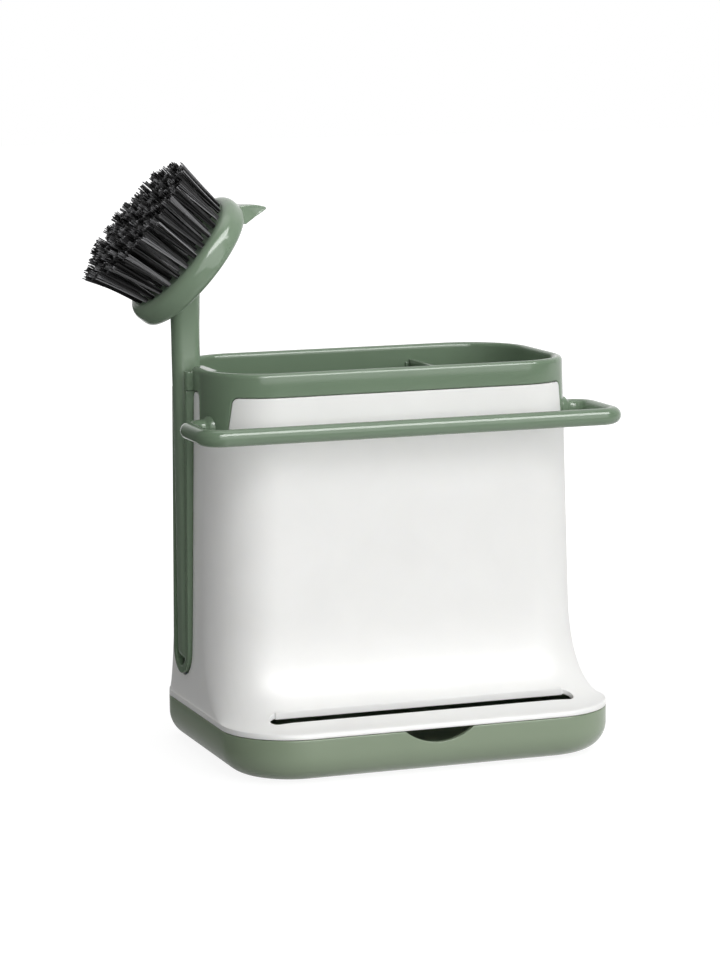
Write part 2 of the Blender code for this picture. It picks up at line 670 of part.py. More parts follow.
def drain_holes(insert):
    """Narrow slots across the basket floor, cut by one guide of many separate prisms."""
    floor = BASKET_BOTTOM + BASKET_FLOOR
    centre_y = (basket_inner_y(floor, True) + basket_inner_y(floor, False)) / 2
    left = CHANNEL_BACK_X + SEAM + CHANNEL_WALL
    right = outer_size(floor)[0] - basket_inset(floor) - BASKET_WALL
    divider_half = DIVIDER_THICKNESS / 2 + SLIDE_FIT + GUIDE_WIDTH
    shape = bmesh.new()
    x = left + DRAIN_HOLE_MARGIN
    while x <= right - DRAIN_HOLE_MARGIN:
        if abs(x - DIVIDER_X) > divider_half + DRAIN_HOLE_WIDTH / 2:
            end_radius = (DRAIN_HOLE_WIDTH - SEAM / 2) / 2
            outline = rounded_rectangle(x, centre_y, DRAIN_HOLE_WIDTH, DRAIN_HOLE_LENGTH, end_radius, 2)
            verts = [shape.verts.new((a, b, BASKET_BOTTOM - BASKET_FLOOR)) for a, b in outline]
            face = shape.faces.new(verts)
            lifted = bmesh.ops.extrude_face_region(shape, geom=[face])["geom"]
            moved = [item for item in lifted if isinstance(item, bmesh.types.BMVert)]
            bmesh.ops.translate(shape, verts=moved, vec=(0, 0, 3 * BASKET_FLOOR))
        x += DRAIN_HOLE_PITCH
    bmesh.ops.recalc_face_normals(shape, faces=shape.faces)
    mesh = bpy.data.meshes.new("cut_drain_holes")
    shape.to_mesh(mesh)
    shape.free()
    boolean(insert, add_object("cut_drain_holes", mesh))


def make_insert(material):
    insert = add_object("top_insert", insert_body(), material)
    channel_bay(insert)
    guide_ribs(insert)
    drain_holes(insert)
    return insert


# Brush channel

def make_channel(material):
    """C-shaped trough with a half-round foot; its lips lean out and their sill holds the handle's tip."""
    half = CHANNEL_WIDTH / 2
    centre_z = slot_centre_z()
    top = BAND_BOTTOM - SEAM
    outline = upright_slot(half, centre_z, top)
    lips = [Vector((CHANNEL_LIP_X - (RIM_TOP - z) * CHANNEL_LEAN, y, z)) for y, z in outline]
    back = [Vector((CHANNEL_BACK_X, y, z)) for y, z in outline]
    body = add_object("brush_channel", loft_mesh("brush_channel", [lips, back]), material)
    above = RIM_TOP
    step = CHANNEL_LIP_X + CHANNEL_MOUTH_DEPTH
    pocket = upright_slot(half - CHANNEL_WALL, centre_z, above)
    mouth = upright_slot(CHANNEL_MOUTH / 2, centre_z, above + SEAM)
    boolean(body, prism("cut_channel_pocket", pocket, "X", step, CHANNEL_BACK_X - CHANNEL_WALL))
    boolean(body, prism("cut_channel_mouth", mouth, "X", 2 * CHANNEL_LIP_X, step + CHANNEL_WALL))
    return body


# Divider

def make_divider(material):
    floor = BASKET_BOTTOM + BASKET_FLOOR + SEAM
    corner = BASKET_BOTTOM_RADIUS - BASKET_WALL
    gap = SLIDE_FIT
    top = DIVIDER_TOP
    outline = [
        (basket_inner_y(floor, True) + gap + corner, floor),
        (basket_inner_y(floor, False) - gap - corner, floor),
        (basket_inner_y(floor + corner, False) - gap, floor + corner),
        (basket_inner_y(top, False) - gap, top),
        (basket_inner_y(top, True) + gap, top),
        (basket_inner_y(floor + corner, True) + gap, floor + corner),
    ]
    half = DIVIDER_THICKNESS / 2
    divider = prism("divider", outline, "X", DIVIDER_X - half, DIVIDER_X + half)
    divider.data.materials.append(material)
    edge = divider.modifiers.new("edge", "BEVEL")
    edge.width = DIVIDER_THICKNESS / 5
    edge.segments = 2
    return divider


# Brush

def ease(value):
    value = min(max(value, 0.0), 1.0)
    return value * value * (3 - 2 * value)


def handle_tip_z():
    return slot_centre_z() - CHANNEL_MOUTH / 2 + SEAM


def handle_ring(z, scale=1.0, thinning=1.0):
    """Section of the handle: wide and flat at the grip, square at the neck."""
    bend = ease((z - HANDLE_BEND_LOW) / (HANDLE_BEND_HIGH - HANDLE_BEND_LOW))
    width = GRIP_WIDTH + (NECK_WIDTH - GRIP_WIDTH) * bend
    depth = GRIP_DEPTH + (NECK_DEPTH - GRIP_DEPTH) * bend
    x = HANDLE_GRIP_X + (HANDLE_NECK_X - HANDLE_GRIP_X) * bend
    depth *= scale * thinning
    corner = HANDLE_CORNER * scale * thinning
    return [Vector((a, b, z)) for a, b in rounded_rectangle(x, CHANNEL_Y, depth, width * scale, corner, 4)]


def head_matrix():
    tilt = Matrix.Rotation(-(pi / 2 - HEAD_TILT), 4, "Y")
    return Matrix.Translation((HEAD_X, CHANNEL_Y, HEAD_Z)) @ tilt


def make_handle():
    tip = handle_tip_z()
    radius = GRIP_WIDTH / 2
    rings = []
    for turn in (16, 36, 56, 76):
        angle = radians(turn)
        rings.append(handle_ring(tip + radius * (1 - cos(angle)), sin(angle), sin(angle)))
    rings.append(handle_ring(tip + radius))
    for step in steps_to(7):
        rings.append(handle_ring(HANDLE_BEND_LOW + (HANDLE_BEND_HIGH - HANDLE_BEND_LOW) * step))
    rings.append(handle_ring((HANDLE_BEND_HIGH + HEAD_Z - HEAD_RADIUS * cos(HEAD_TILT)) / 2, NECK_SWELL_START))
    buried = -HEAD_DEPTH / 2
    root = handle_ring(HEAD_Z, NECK_SWELL)
    for point in root:
        point.z += (buried + (point.x - HEAD_X) * cos(HEAD_TILT)) / sin(HEAD_TILT)
    rings.append(root)
    return loft_mesh("brush_body", rings)


def head_profile():
    """Half section of the head as radius and height: bristle face, bulged side, rounded back."""
    bed = BRISTLE_BED_RADIUS + SEAM
    points = [(bed, -BRISTLE_BED_DEPTH - SEAM), (bed, 0.0), (HEAD_RADIUS, 0.0)]
    side = HEAD_RADIUS + HEAD_BULGE
    widest = HEAD_DEPTH * HEAD_WIDEST_SHARE
    for turn in steps_to(7, pi / 2)[:-1]:
        radius = side * cos(turn) ** (2 / HEAD_BACK_POWER)
        points.append((radius, -widest - (HEAD_DEPTH - widest) * sin(turn) ** (2 / HEAD_BACK_POWER)))
    return points


def make_head():
    """Turned head in its own frame, bristle face up, then tilted onto the handle."""
    sides = 40
    profile = head_profile()
    rings = []
    for radius, height in profile:
        rings.append([head_matrix() @ Vector((x, y, height)) for x, y in circle(radius, sides)])
    return add_object("brush_head", loft_mesh("brush_head", rings))


def make_scraper():
    """Wedge on the head's upper back edge with a straight scraping edge across it."""
    side = HEAD_RADIUS + HEAD_BULGE
    tip = side + SCRAPER_REACH
    outline = [
        (side - SCRAPER_BURIED, -SCRAPER_ROOT_TOP),
        (side - SCRAPER_BURIED, -SCRAPER_ROOT_TOP - SCRAPER_EDGE),
        (side - SCRAPER_HEEL, -SCRAPER_HEEL_DEPTH),
        (tip - SCRAPER_EDGE, -SCRAPER_TIP_DEPTH),
        (tip, -SCRAPER_TIP_DEPTH + SCRAPER_EDGE),
        (side - SCRAPER_SHOULDER, -SCRAPER_ROOT_TOP),
    ]
    rings = []
    for y in (-SCRAPER_WIDTH / 2, SCRAPER_WIDTH / 2):
        rings.append([head_matrix() @ Vector((x, y, z)) for x, z in outline])
    return add_object("scraper_nose", loft_mesh("scraper_nose", rings))


def make_brush(material):
    brush = add_object("brush_body", make_handle(), material)
    boolean(brush, make_head(), "UNION")
    boolean(brush, make_scraper(), "UNION")
    return brush


# Bristles

def tuft_centres():
    centres = []
    for radius, count in TUFT_RINGS:
        for i in range(count):
            angle = 2 * pi * (i + 0.5) / count
            centres.append(Vector((radius * cos(angle), radius * sin(angle))))
    return centres


def strands():
    """Base triangle, base centre and tip centre of every strand.

    A tuft's strands fan out in proportion from its middle, and the tufts from the middle of
    the head, so no two strands cross.
    """
    radius = STRAND_SIDE / sqrt(3)
    found = []
    for index, centre in enumerate(tuft_centres()):
        spin = centre.angle_signed(Vector((1, 0)), 0.0)
        for i in range(STRANDS_PER_TUFT):
            angle = 2 * pi * i / STRANDS_PER_TUFT - spin
            out = Vector((cos(angle), sin(angle)))
            base = centre + out * TUFT_RADIUS
            tip = centre * BRISTLE_SPLAY + out * TUFT_TIP_RADIUS
            corners = [base + radius * Vector((cos(angle + turn), sin(angle + turn)))
                       for turn in (0, 2 * pi / 3, 4 * pi / 3)]
            shorter = STRAND_UNEVENNESS * abs(sin(STRAND_SCATTER * (index * STRANDS_PER_TUFT + i)))
            found.append((corners, base, tip, BRISTLE_LENGTH * (1 - shorter)))
    return found


def make_bristles(material):
    """The bed's top face is triangulated round every strand's foot, then the feet are drawn up."""
    points = [Vector(point) for point in circle(BRISTLE_BED_RADIUS, 48)]
    faces = [list(range(len(points)))]
    tufts = strands()
    for corners, _, _, _ in tufts:
        faces.append([len(points) + k for k in range(3)])
        points += corners
    flat, _, flat_faces, _, _, origin = delaunay_2d_cdt(points, [], faces, 1, SEAM / 1000)

    shape = bmesh.new()
    verts = [shape.verts.new((p.x, p.y, 0.0)) for p in flat]
    feet = {}
    for corner_ids, sources in zip(flat_faces, origin):
        face = shape.faces.new([verts[k] for k in corner_ids])
        owners = [source for source in sources if source > 0]
        if owners:
            feet[owners[0]] = face
    rim_edges = [edge for edge in shape.edges if edge.is_boundary]
    bottom = bmesh.ops.extrude_edge_only(shape, edges=rim_edges)["geom"]
    low = [item for item in bottom if isinstance(item, bmesh.types.BMVert)]
    bmesh.ops.translate(shape, verts=low, vec=(0, 0, -BRISTLE_BED_DEPTH))
    bmesh.ops.contextual_create(shape, geom=[edge for edge in shape.edges if edge.is_boundary])
    for owner, face in feet.items():
        _, base, tip, length = tufts[owner - 1]
        drawn = bmesh.ops.extrude_discrete_faces(shape, faces=[face])["faces"][0]
        lean = Vector((tip.x - base.x, tip.y - base.y, length))
        bmesh.ops.translate(shape, verts=drawn.verts[:], vec=lean)
    bmesh.ops.recalc_face_normals(shape, faces=shape.faces)
    mesh = bpy.data.meshes.new("bristles")
    shape.to_mesh(mesh)
    shape.free()
    bristles = add_object("bristles", mesh, material, radians(20))
    bristles.matrix_world = head_matrix()
    return bristles


# Assembly

def carrier(name, location, parent=None):
    """Empty on a piece's slide axis that carries everything that lifts with it."""
    empty = bpy.data.objects.new(name, None)
    bpy.context.scene.collection.objects.link(empty)
    empty.location = Vector(location) - (parent.location if parent else Vector((0, 0, 0)))
    empty["world_place"] = list(location)
    if parent:
        empty.parent = parent
    return empty


def attach(item, empty):
    item.parent = empty
    item.matrix_parent_inverse = Matrix.Translation(-Vector(empty["world_place"]))


def main():
    clear_scene()
    green = plastic("green_plastic", GREEN, 0.32)
    white = plastic("white_plastic", WHITE, 0.45)
    black = plastic("black_bristle", BLACK, 0.40)
    rubber = plastic("foot_rubber", RUBBER, 0.85)

    make_tray(green)
    make_feet(rubber)
    shell_lift = carrier("shell_lift", (0, 0, 0))
    insert_lift = carrier("insert_lift", (0, 0, 0), shell_lift)
    divider_lift = carrier("divider_lift", (DIVIDER_X, 0, 0), insert_lift)
    brush_lift = carrier("brush_lift", (HANDLE_GRIP_X, CHANNEL_Y, 0), insert_lift)
    attach(make_shell(white), shell_lift)
    attach(make_insert(green), insert_lift)
    attach(make_rail(green), insert_lift)
    attach(make_channel(green), insert_lift)
    attach(make_divider(green), divider_lift)
    attach(make_brush(green), brush_lift)
    attach(make_bristles(black), brush_lift)


main()
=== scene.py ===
"""Sink organizer: sage green and white moulded plastic, with a dish brush in its own channel.

Metres, +Z up. The origin is the middle of the tray's flat underside, -Y is the front and
-X is the side with the brush.
"""

import random
from math import asin, cos, pi, radians, sin, sqrt

import bpy
from mathutils import Matrix, Vector


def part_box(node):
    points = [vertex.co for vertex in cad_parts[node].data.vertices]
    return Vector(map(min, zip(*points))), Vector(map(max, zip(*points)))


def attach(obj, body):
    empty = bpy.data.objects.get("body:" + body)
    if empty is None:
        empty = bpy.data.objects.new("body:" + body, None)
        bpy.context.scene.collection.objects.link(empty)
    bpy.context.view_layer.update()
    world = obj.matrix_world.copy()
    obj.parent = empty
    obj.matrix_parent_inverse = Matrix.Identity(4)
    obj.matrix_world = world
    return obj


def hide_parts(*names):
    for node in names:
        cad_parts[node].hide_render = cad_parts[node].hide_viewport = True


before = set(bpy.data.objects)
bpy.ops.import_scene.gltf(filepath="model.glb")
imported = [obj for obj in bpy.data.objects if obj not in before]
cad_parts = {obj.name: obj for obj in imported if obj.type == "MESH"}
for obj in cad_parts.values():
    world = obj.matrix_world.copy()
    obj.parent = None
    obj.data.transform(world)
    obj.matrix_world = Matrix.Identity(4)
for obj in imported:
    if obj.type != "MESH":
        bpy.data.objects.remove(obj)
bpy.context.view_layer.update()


# Camera
# The organizer is seen from its front left and a little above, through a long lens. The place and
# the three turns are those at which its outline falls on the photograph's.

PHOTO_HEIGHT_PX = 960
FOCAL_PX = 3335.0
SENSOR_MM = 36.0
CAMERA_PLACE = Vector((-0.52153, -1.43884, 0.34978))
CAMERA_TURN = radians(19.4912)
CAMERA_DIP = radians(8.4081)
CAMERA_ROLL = radians(-0.65)

forward = Vector((sin(CAMERA_TURN) * cos(CAMERA_DIP), cos(CAMERA_TURN) * cos(CAMERA_DIP), -sin(CAMERA_DIP)))
level_right = Vector((cos(CAMERA_TURN), -sin(CAMERA_TURN), 0.0))
level_up = level_right.cross(forward)
right = cos(CAMERA_ROLL) * level_right + sin(CAMERA_ROLL) * level_up
up = cos(CAMERA_ROLL) * level_up - sin(CAMERA_ROLL) * level_right
camera_data = bpy.data.cameras.new("camera")
camera_data.sensor_fit = "VERTICAL"
camera_data.sensor_height = SENSOR_MM
camera_data.lens = FOCAL_PX * SENSOR_MM / PHOTO_HEIGHT_PX
camera_data.clip_end = 50.0
camera = bpy.data.objects.new("camera", camera_data)
bpy.context.scene.collection.objects.link(camera)
camera.matrix_world = Matrix.Translation(CAMERA_PLACE) @ Matrix((right, up, -forward)).transposed().to_4x4()
bpy.context.scene.camera = camera
bpy.context.scene.view_settings.view_transform = "Standard"


# Floor, backdrop and studio light
# A white sweep without a visible horizon, a tall softbox in front, one above it that only draws
# the highlights on the glossy plastic, a weak one overhead and one behind for the left wall.

FLOOR_HEIGHT = -0.001
FLOOR_HALF = 6.0
FLOOR_BOUNCE = 0.42
WHITE = (1.0, 1.0, 1.0, 1.0)


def add_node(tree, kind, inputs=None, **settings):
    """Add a shader node: an input given as a socket is linked, and any other is set."""
    node = tree.nodes.new("ShaderNode" + kind)
    for name, value in settings.items():
        setattr(node, name, value)
    for name, value in (inputs or {}).items():
        if isinstance(value, bpy.types.NodeSocket):
            tree.links.new(value, node.inputs[name])
        else:
            node.inputs[name].default_value = value
    return node


def new_material(name):
    """A material without nodes, and its node tree."""
    material = bpy.data.materials.new(name)
    material.use_nodes = True
    material.node_tree.nodes.clear()
    return material, material.node_tree


def mesh_object(name, points, faces, sharp=None):
    """A smooth-shaded object, whose edges that turn by more than the sharp angle stay crisp."""
    mesh = bpy.data.meshes.new(name)
    mesh.from_pydata([tuple(point) for point in points], [], faces)
    mesh.validate()
    mesh.shade_smooth()
    if sharp is not None:
        mesh.set_sharp_from_angle(angle=radians(sharp))
    item = bpy.data.objects.new(name, mesh)
    bpy.context.scene.collection.objects.link(item)
    return item


floor_corners = [(FLOOR_HALF * a, FLOOR_HALF * b, FLOOR_HEIGHT)
                 for a, b in ((-1, -1), (1, -1), (1, 1), (-1, 1))]
floor = mesh_object("floor", floor_corners, [(0, 1, 2, 3)])

# Matt paper with a grain of about 1 mm. The camera sees it white with the object's shadow, a
# reflection sees it fade out to the front and the left, and it lights the object as grey paper.
paper, tree = new_material("white paper sweep")
path = add_node(tree, "LightPath")
place = add_node(tree, "TexCoord").outputs["Object"]
grain = add_node(tree, "TexNoise", {"Vector": place, "Scale": 900.0, "Detail": 3.0})
shade = add_node(tree, "MapRange", {"Value": grain.outputs["Fac"], "To Min": 0.15, "To Max": 0.17})
sheet = add_node(tree, "BsdfPrincipled", {"Base Color": shade.outputs["Result"], "Roughness": 0.9})
distance = add_node(tree, "VectorMath", {0: place}, operation="LENGTH")
lift = add_node(tree, "MapRange", {"Value": distance.outputs["Value"], "From Min": 0.15, "From Max": 0.60,
                                   "To Min": 0.90, "To Max": 1.10})
lamp = add_node(tree, "Emission", {"Strength": lift.outputs["Result"]})
bright = add_node(tree, "AddShader", {0: sheet.outputs[0], 1: lamp.outputs[0]})
bounce = add_node(tree, "BsdfPrincipled", {"Base Color": (FLOOR_BOUNCE, FLOOR_BOUNCE, FLOOR_BOUNCE, 1.0),
                                           "Roughness": 0.9})
where = add_node(tree, "SeparateXYZ", {"Vector": place})
forward_fall = add_node(tree, "MapRange", {"Value": where.outputs["Y"], "From Min": -0.9, "From Max": -0.15,
                                           "To Min": 0.05, "To Max": 1.0})
left_fall = add_node(tree, "MapRange", {"Value": where.outputs["X"], "From Min": -0.13, "From Max": -0.03,
                                        "To Min": 0.04, "To Max": 1.0})
mirrored = add_node(tree, "Math", {0: forward_fall.outputs["Result"], 1: left_fall.outputs["Result"]},
                    operation="MULTIPLY")
mirror = add_node(tree, "Emission", {"Strength": mirrored.outputs["Value"]})
gloss = add_node(tree, "MixShader", {0: path.outputs["Is Glossy Ray"], 1: bounce.outputs[0],
                                     2: mirror.outputs[0]})
seen = add_node(tree, "MixShader", {0: path.outputs["Is Camera Ray"], 1: gloss.outputs[0],
                                    2: bright.outputs[0]})
add_node(tree, "OutputMaterial", {"Surface": seen.outputs[0]})
floor.data.materials.append(paper)

# The room is dim on the left and bright on the right, so that the round corners show their turn.
# Reflections find it dark in front and on the left, and the camera sees plain white.
world = bpy.data.worlds.new("studio")
bpy.context.scene.world = world
world.use_nodes = True
tree = world.node_tree
tree.nodes.clear()
path = add_node(tree, "LightPath")
direction = add_node(tree, "SeparateXYZ", {"Vector": add_node(tree, "TexCoord").outputs["Generated"]})
sideways = add_node(tree, "MapRange", {"Value": direction.outputs["X"], "From Min": -0.5, "From Max": 0.6,
                                       "To Min": 0.10, "To Max": 0.69})
room = add_node(tree, "Background", {"Color": WHITE, "Strength": sideways.outputs["Result"]})
behind = add_node(tree, "MapRange", {"Value": direction.outputs["Y"], "From Min": -0.2, "From Max": 0.5,
                                     "To Min": 0.08, "To Max": 1.0})
from_left = add_node(tree, "MapRange", {"Value": direction.outputs["X"], "From Min": -0.3, "From Max": 0.0,
                                        "To Min": 0.08, "To Max": 1.0})
mirrored = add_node(tree, "Math", {0: behind.outputs["Result"], 1: from_left.outputs["Result"]},
                    operation="MULTIPLY")
mirror = add_node(tree, "Background", {"Color": WHITE, "Strength": mirrored.outputs["Value"]})
plain = add_node(tree, "Background", {"Color": WHITE, "Strength": 1.0})
gloss = add_node(tree, "MixShader", {0: path.outputs["Is Glossy Ray"], 1: room.outputs[0],
                                     2: mirror.outputs[0]})
seen = add_node(tree, "MixShader", {0: path.outputs["Is Camera Ray"], 1: gloss.outputs[0],
                                    2: plain.outputs[0]})
add_node(tree, "OutputWorld", {"Surface": seen.outputs[0]})


def area_light(name, place, target, width, height, power):
    """A softbox of the given width and height and power in watts, turned to its target."""
    data = bpy.data.lights.new(name, "AREA")
    data.shape = "RECTANGLE"
    data.size = width
    data.size_y = height
    data.energy = power
    light = bpy.data.objects.new(name, data)
    bpy.context.scene.collection.objects.link(light)
    light.location = place
    light.rotation_euler = (Vector(target) - Vector(place)).to_track_quat("-Z", "Y").to_euler()
    return light


area_light("front softbox", (0.20, -1.6, 0.75), (0.0, 0.0, 0.12), 2.2, 2.0, 27.5)
highlight = area_light("highlight softbox", (0.35, -0.95, 1.33), (0.0, 0.0, 0.15), 1.9, 0.7, 40.0)
highlight.visible_diffuse = False
area_light("overhead softbox", (0.05, 0.10, 1.15), (0.0, 0.0, 0.1), 0.9, 0.45, 1.5)
back_left = area_light("back left softbox", (-0.80, 1.00, 0.40), (-0.05, 0.0, 0.12), 0.9, 0.9, 3.0)
back_left.visible_glossy = False


# Drip tray
# Green open basin of injection-moulded polypropylene with a wide rounded underside edge. A lip
# stands up inside the shell's foot at the sides and the back and locates it, and a finger notch is
# sunk in the middle of the front wall.

BASE_WIDTH = 0.185
BASE_DEPTH = 0.1393
BASE_FRONT_RADIUS = 0.0332
BASE_BACK_RADIUS = 0.027
TRAY_HEIGHT = 0.020
TRAY_WALL = 0.0026
TRAY_FLOOR = 0.0024
TRAY_EDGE_RADIUS = 0.0125
TRAY_TOP_RADIUS = 0.0006
TRAY_LIP_HEIGHT = 0.003
TRAY_LIP_WALL = 0.0014
TRAY_LIP_START_Y = 0.0058
NOTCH_WIDTH = 0.033
NOTCH_DEPTH = 0.006
SEAM = 0.0003
SLIDE_FIT = 0.0004
SHELL_WALL = 0.0020
SAGE_HEX = "778B74"
SAGE_ROUGHNESS = 0.11
# The tray's sage is painted paler, as painted light from the floor close below it.
TRAY_PAINTED_LIGHT_HEX = "8A9981"
TRAY_ROUGHNESS = 0.24
PLASTIC_IOR = 1.49
CORNER_STEP = 3
CRISP_ANGLE = 32


def colour(code):
    """sRGB hex to the linear colour that a shader takes."""
    parts = [int(code[i:i + 2], 16) / 255 for i in (0, 2, 4)]
    return tuple(p / 12.92 if p <= 0.04045 else ((p + 0.055) / 1.055) ** 2.4 for p in parts) + (1.0,)


def moulded_plastic(name, shade, roughness):
    """Injection-moulded plastic with a smooth surface.

    The eye gets shade that drifts over about 36 mm, gloss that drifts over about 6 mm, a die
    texture of 0.45 mm that shows in highlights alone, and eased edges with a thin line of light.
    """
    material, tree = new_material(name)
    place = add_node(tree, "TexCoord").outputs["Object"]
    flow = add_node(tree, "TexNoise", {"Vector": place, "Scale": 28.0, "Detail": 3.0, "Distortion": 0.6})
    dark = tuple(c * 0.95 for c in shade[:3]) + (1.0,)
    light = tuple(min(c * 1.04, 1.0) for c in shade[:3]) + (1.0,)
    tint = add_node(tree, "Mix", {0: flow.outputs["Fac"], 6: dark, 7: light}, data_type="RGBA")
    cloud = add_node(tree, "TexNoise", {"Vector": place, "Scale": 160.0, "Detail": 4.0})
    gloss = add_node(tree, "MapRange", {"Value": cloud.outputs["Fac"], "To Min": roughness - 0.02,
                                        "To Max": roughness + 0.02})
    die = add_node(tree, "TexNoise", {"Vector": place, "Scale": 2200.0, "Detail": 2.0})
    eased = add_node(tree, "Bevel", {"Radius": 0.0007}, samples=6)
    bump = add_node(tree, "Bump", {"Height": die.outputs["Fac"], "Strength": 0.35, "Distance": 0.00001,
                                   "Normal": eased.outputs["Normal"]})
    shader = add_node(tree, "BsdfPrincipled", {
        "Base Color": tint.outputs[2], "Roughness": gloss.outputs["Result"],
        "Normal": bump.outputs["Normal"], "IOR": PLASTIC_IOR, "Subsurface Weight": 0.05,
        "Subsurface Radius": (1.0, 0.9, 0.7), "Subsurface Scale": 0.002})
    add_node(tree, "OutputMaterial", {"Surface": shader.outputs[0]})
    return material


def steps_to(count, end=1.0):
    """Even steps from 0 to the end value, both included."""
    return [end * i / count for i in range(count + 1)]


def ring_point(station, size, inset):
    """A station is an angle round a corner, or a Y along the side wall."""
    kind, value = station
    half_width, front, back, front_radius, back_radius = size
    if kind == "front":
        radius = front_radius - inset
        return half_width - front_radius + radius * sin(value), front + front_radius - radius * cos(value)
    if kind == "back":
        radius = back_radius - inset
        return half_width - back_radius + radius * cos(value), back - back_radius + radius * sin(value)
    return half_width - inset, value


def ring(stations, sizes, insets, heights):
    """A closed ring: the stations run up the right side and back down the left."""
    right_side = []
    for index, station in enumerate(stations):
        x, y = ring_point(station, sizes[index], insets[index])
        right_side.append(Vector((x, y, heights[index])))
    return right_side + [Vector((-point.x, point.y, point.z)) for point in reversed(right_side)]


def loft(name, rings, capped=True, sharp=CRISP_ANGLE):
    """Skin a stack of rings that have equally many points, and close its ends."""
    count = len(rings[0])
    points = [point for loop in rings for point in loop]
    faces = []
    for row in range(len(rings) - 1):
        low = row * count
        for i in range(count):
            j = (i + 1) % count
            faces.append((low + i, low + j, low + count + j, low + count + i))
    if capped:
        faces.append(tuple(reversed(range(count))))
        faces.append(tuple(range(len(points) - count, len(points))))
    return mesh_object(name, points, faces, sharp)


def prism(name, outline, axis, low, high):
    """Extrude a flat outline along X (outline in Y, Z), Y (X, Z) or Z (X, Y)."""
    place = {
        "X": lambda a, b, depth: (depth, a, b),
        "Y": lambda a, b, depth: (a, depth, b),
        "Z": lambda a, b, depth: (a, b, depth),
    }[axis]
    return loft(name, [[place(a, b, depth) for a, b in outline] for depth in (low, high)])


def settle(item):
    """Apply an object's modifiers to its mesh."""
    graph = bpy.context.evaluated_depsgraph_get()
    mesh = bpy.data.meshes.new_from_object(item.evaluated_get(graph))
    item.modifiers.clear()
    item.data = mesh
    mesh.shade_smooth()
    mesh.set_sharp_from_angle(angle=radians(CRISP_ANGLE))


def outward(item):
    """Turn a closed mesh right side out, going by the sign of its volume."""
    mesh = item.data
    volume = 0.0
    for face in mesh.polygons:
        corners = [mesh.vertices[i].co for i in face.vertices]
        for a, b in zip(corners[1:], corners[2:]):
            volume += corners[0].dot(a.cross(b))
    if volume < 0:
        mesh.flip_normals()


def shape_with(item, other, operation="DIFFERENCE"):
    """Cut another shape out of a piece, or join it on, and remove that shape."""
    outward(item)
    outward(other)
    change = item.modifiers.new("change", "BOOLEAN")
    change.operation = operation
    change.solver = "EXACT"
    change.object = other
    settle(item)
    bpy.data.objects.remove(other, do_unlink=True)


def merge(item, others):
    """Put other meshes into a piece's mesh as they are."""
    points = [v.co.copy() for v in item.data.vertices]
    faces = [tuple(face.vertices) for face in item.data.polygons]
    for other in others:
        start = len(points)
        points += [v.co.copy() for v in other.data.vertices]
        faces += [tuple(start + i for i in face.vertices) for face in other.data.polygons]
        bpy.data.objects.remove(other, do_unlink=True)
    mesh = bpy.data.meshes.new(item.name)
    mesh.from_pydata(points, [], faces)
    mesh.shade_smooth()
    mesh.set_sharp_from_angle(angle=radians(CRISP_ANGLE))
    item.data = mesh


def finish_piece(item, material, slot, body, *nodes):
    """Give a piece its material and the body it rides on, in the place of the named nodes. The slot
    argument is not used.
    """
    item.data.materials.clear()
    item.data.materials.append(material)
    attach(item, body)
    if nodes:
        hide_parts(*nodes)


def corner_stations(kind, first=0, last=90):
    """Stations round a front or back corner between two angles in degrees."""
    return [(kind, radians(angle)) for angle in range(first, last + 1, CORNER_STEP)]


def tray_ring(z, inset, lip_inset=None, lip_height=0.0):
    """A ring of the tray, whose lip stands on the side and back walls alone."""
    lip_start = ("side", TRAY_LIP_START_Y + TRAY_LIP_HEIGHT)
    stations = corner_stations("front") + [("side", TRAY_LIP_START_Y), lip_start] + corner_stations("back")
    start = stations.index(lip_start)
    size = (BASE_WIDTH / 2, -BASE_DEPTH / 2, BASE_DEPTH / 2, BASE_FRONT_RADIUS, BASE_BACK_RADIUS)
    insets = []
    heights = []
    for index in range(len(stations)):
        on_lip = index >= start
        insets.append(lip_inset if on_lip and lip_inset is not None else inset)
        heights.append(z + (lip_height if on_lip else 0.0))
    return ring(stations, [size] * len(stations), insets, heights)


tray_rings = []
for turn in steps_to(14, pi / 2):
    tray_rings.append(tray_ring(TRAY_EDGE_RADIUS * (1 - cos(turn)), TRAY_EDGE_RADIUS * (1 - sin(turn))))
lip_inset = TRAY_WALL + TRAY_LIP_WALL
shoulder = SHELL_WALL + SLIDE_FIT
inner_radius = TRAY_EDGE_RADIUS - TRAY_WALL
for turn in steps_to(4, pi / 2):
    z = TRAY_HEIGHT - TRAY_TOP_RADIUS * (1 - sin(turn))
    tray_rings.append(tray_ring(z, TRAY_TOP_RADIUS * (1 - cos(turn))))
tray_rings.append(tray_ring(TRAY_HEIGHT, TRAY_WALL - 2 * SEAM, shoulder))
tray_rings.append(tray_ring(TRAY_HEIGHT, TRAY_WALL - SEAM, shoulder + SEAM, TRAY_LIP_HEIGHT))
tray_rings.append(tray_ring(TRAY_HEIGHT, TRAY_WALL, lip_inset, TRAY_LIP_HEIGHT))
tray_rings.append(tray_ring(TRAY_HEIGHT - TRAY_LIP_HEIGHT, TRAY_WALL, lip_inset))
tray_rings.append(tray_ring(TRAY_FLOOR + inner_radius, TRAY_WALL))
for turn in steps_to(8, pi / 2)[1:]:
    inset = TRAY_WALL + inner_radius * (1 - cos(turn))
    tray_rings.append(tray_ring(TRAY_FLOOR + inner_radius * (1 - sin(turn)), inset))
tray = loft("drip_tray_visual", tray_rings)

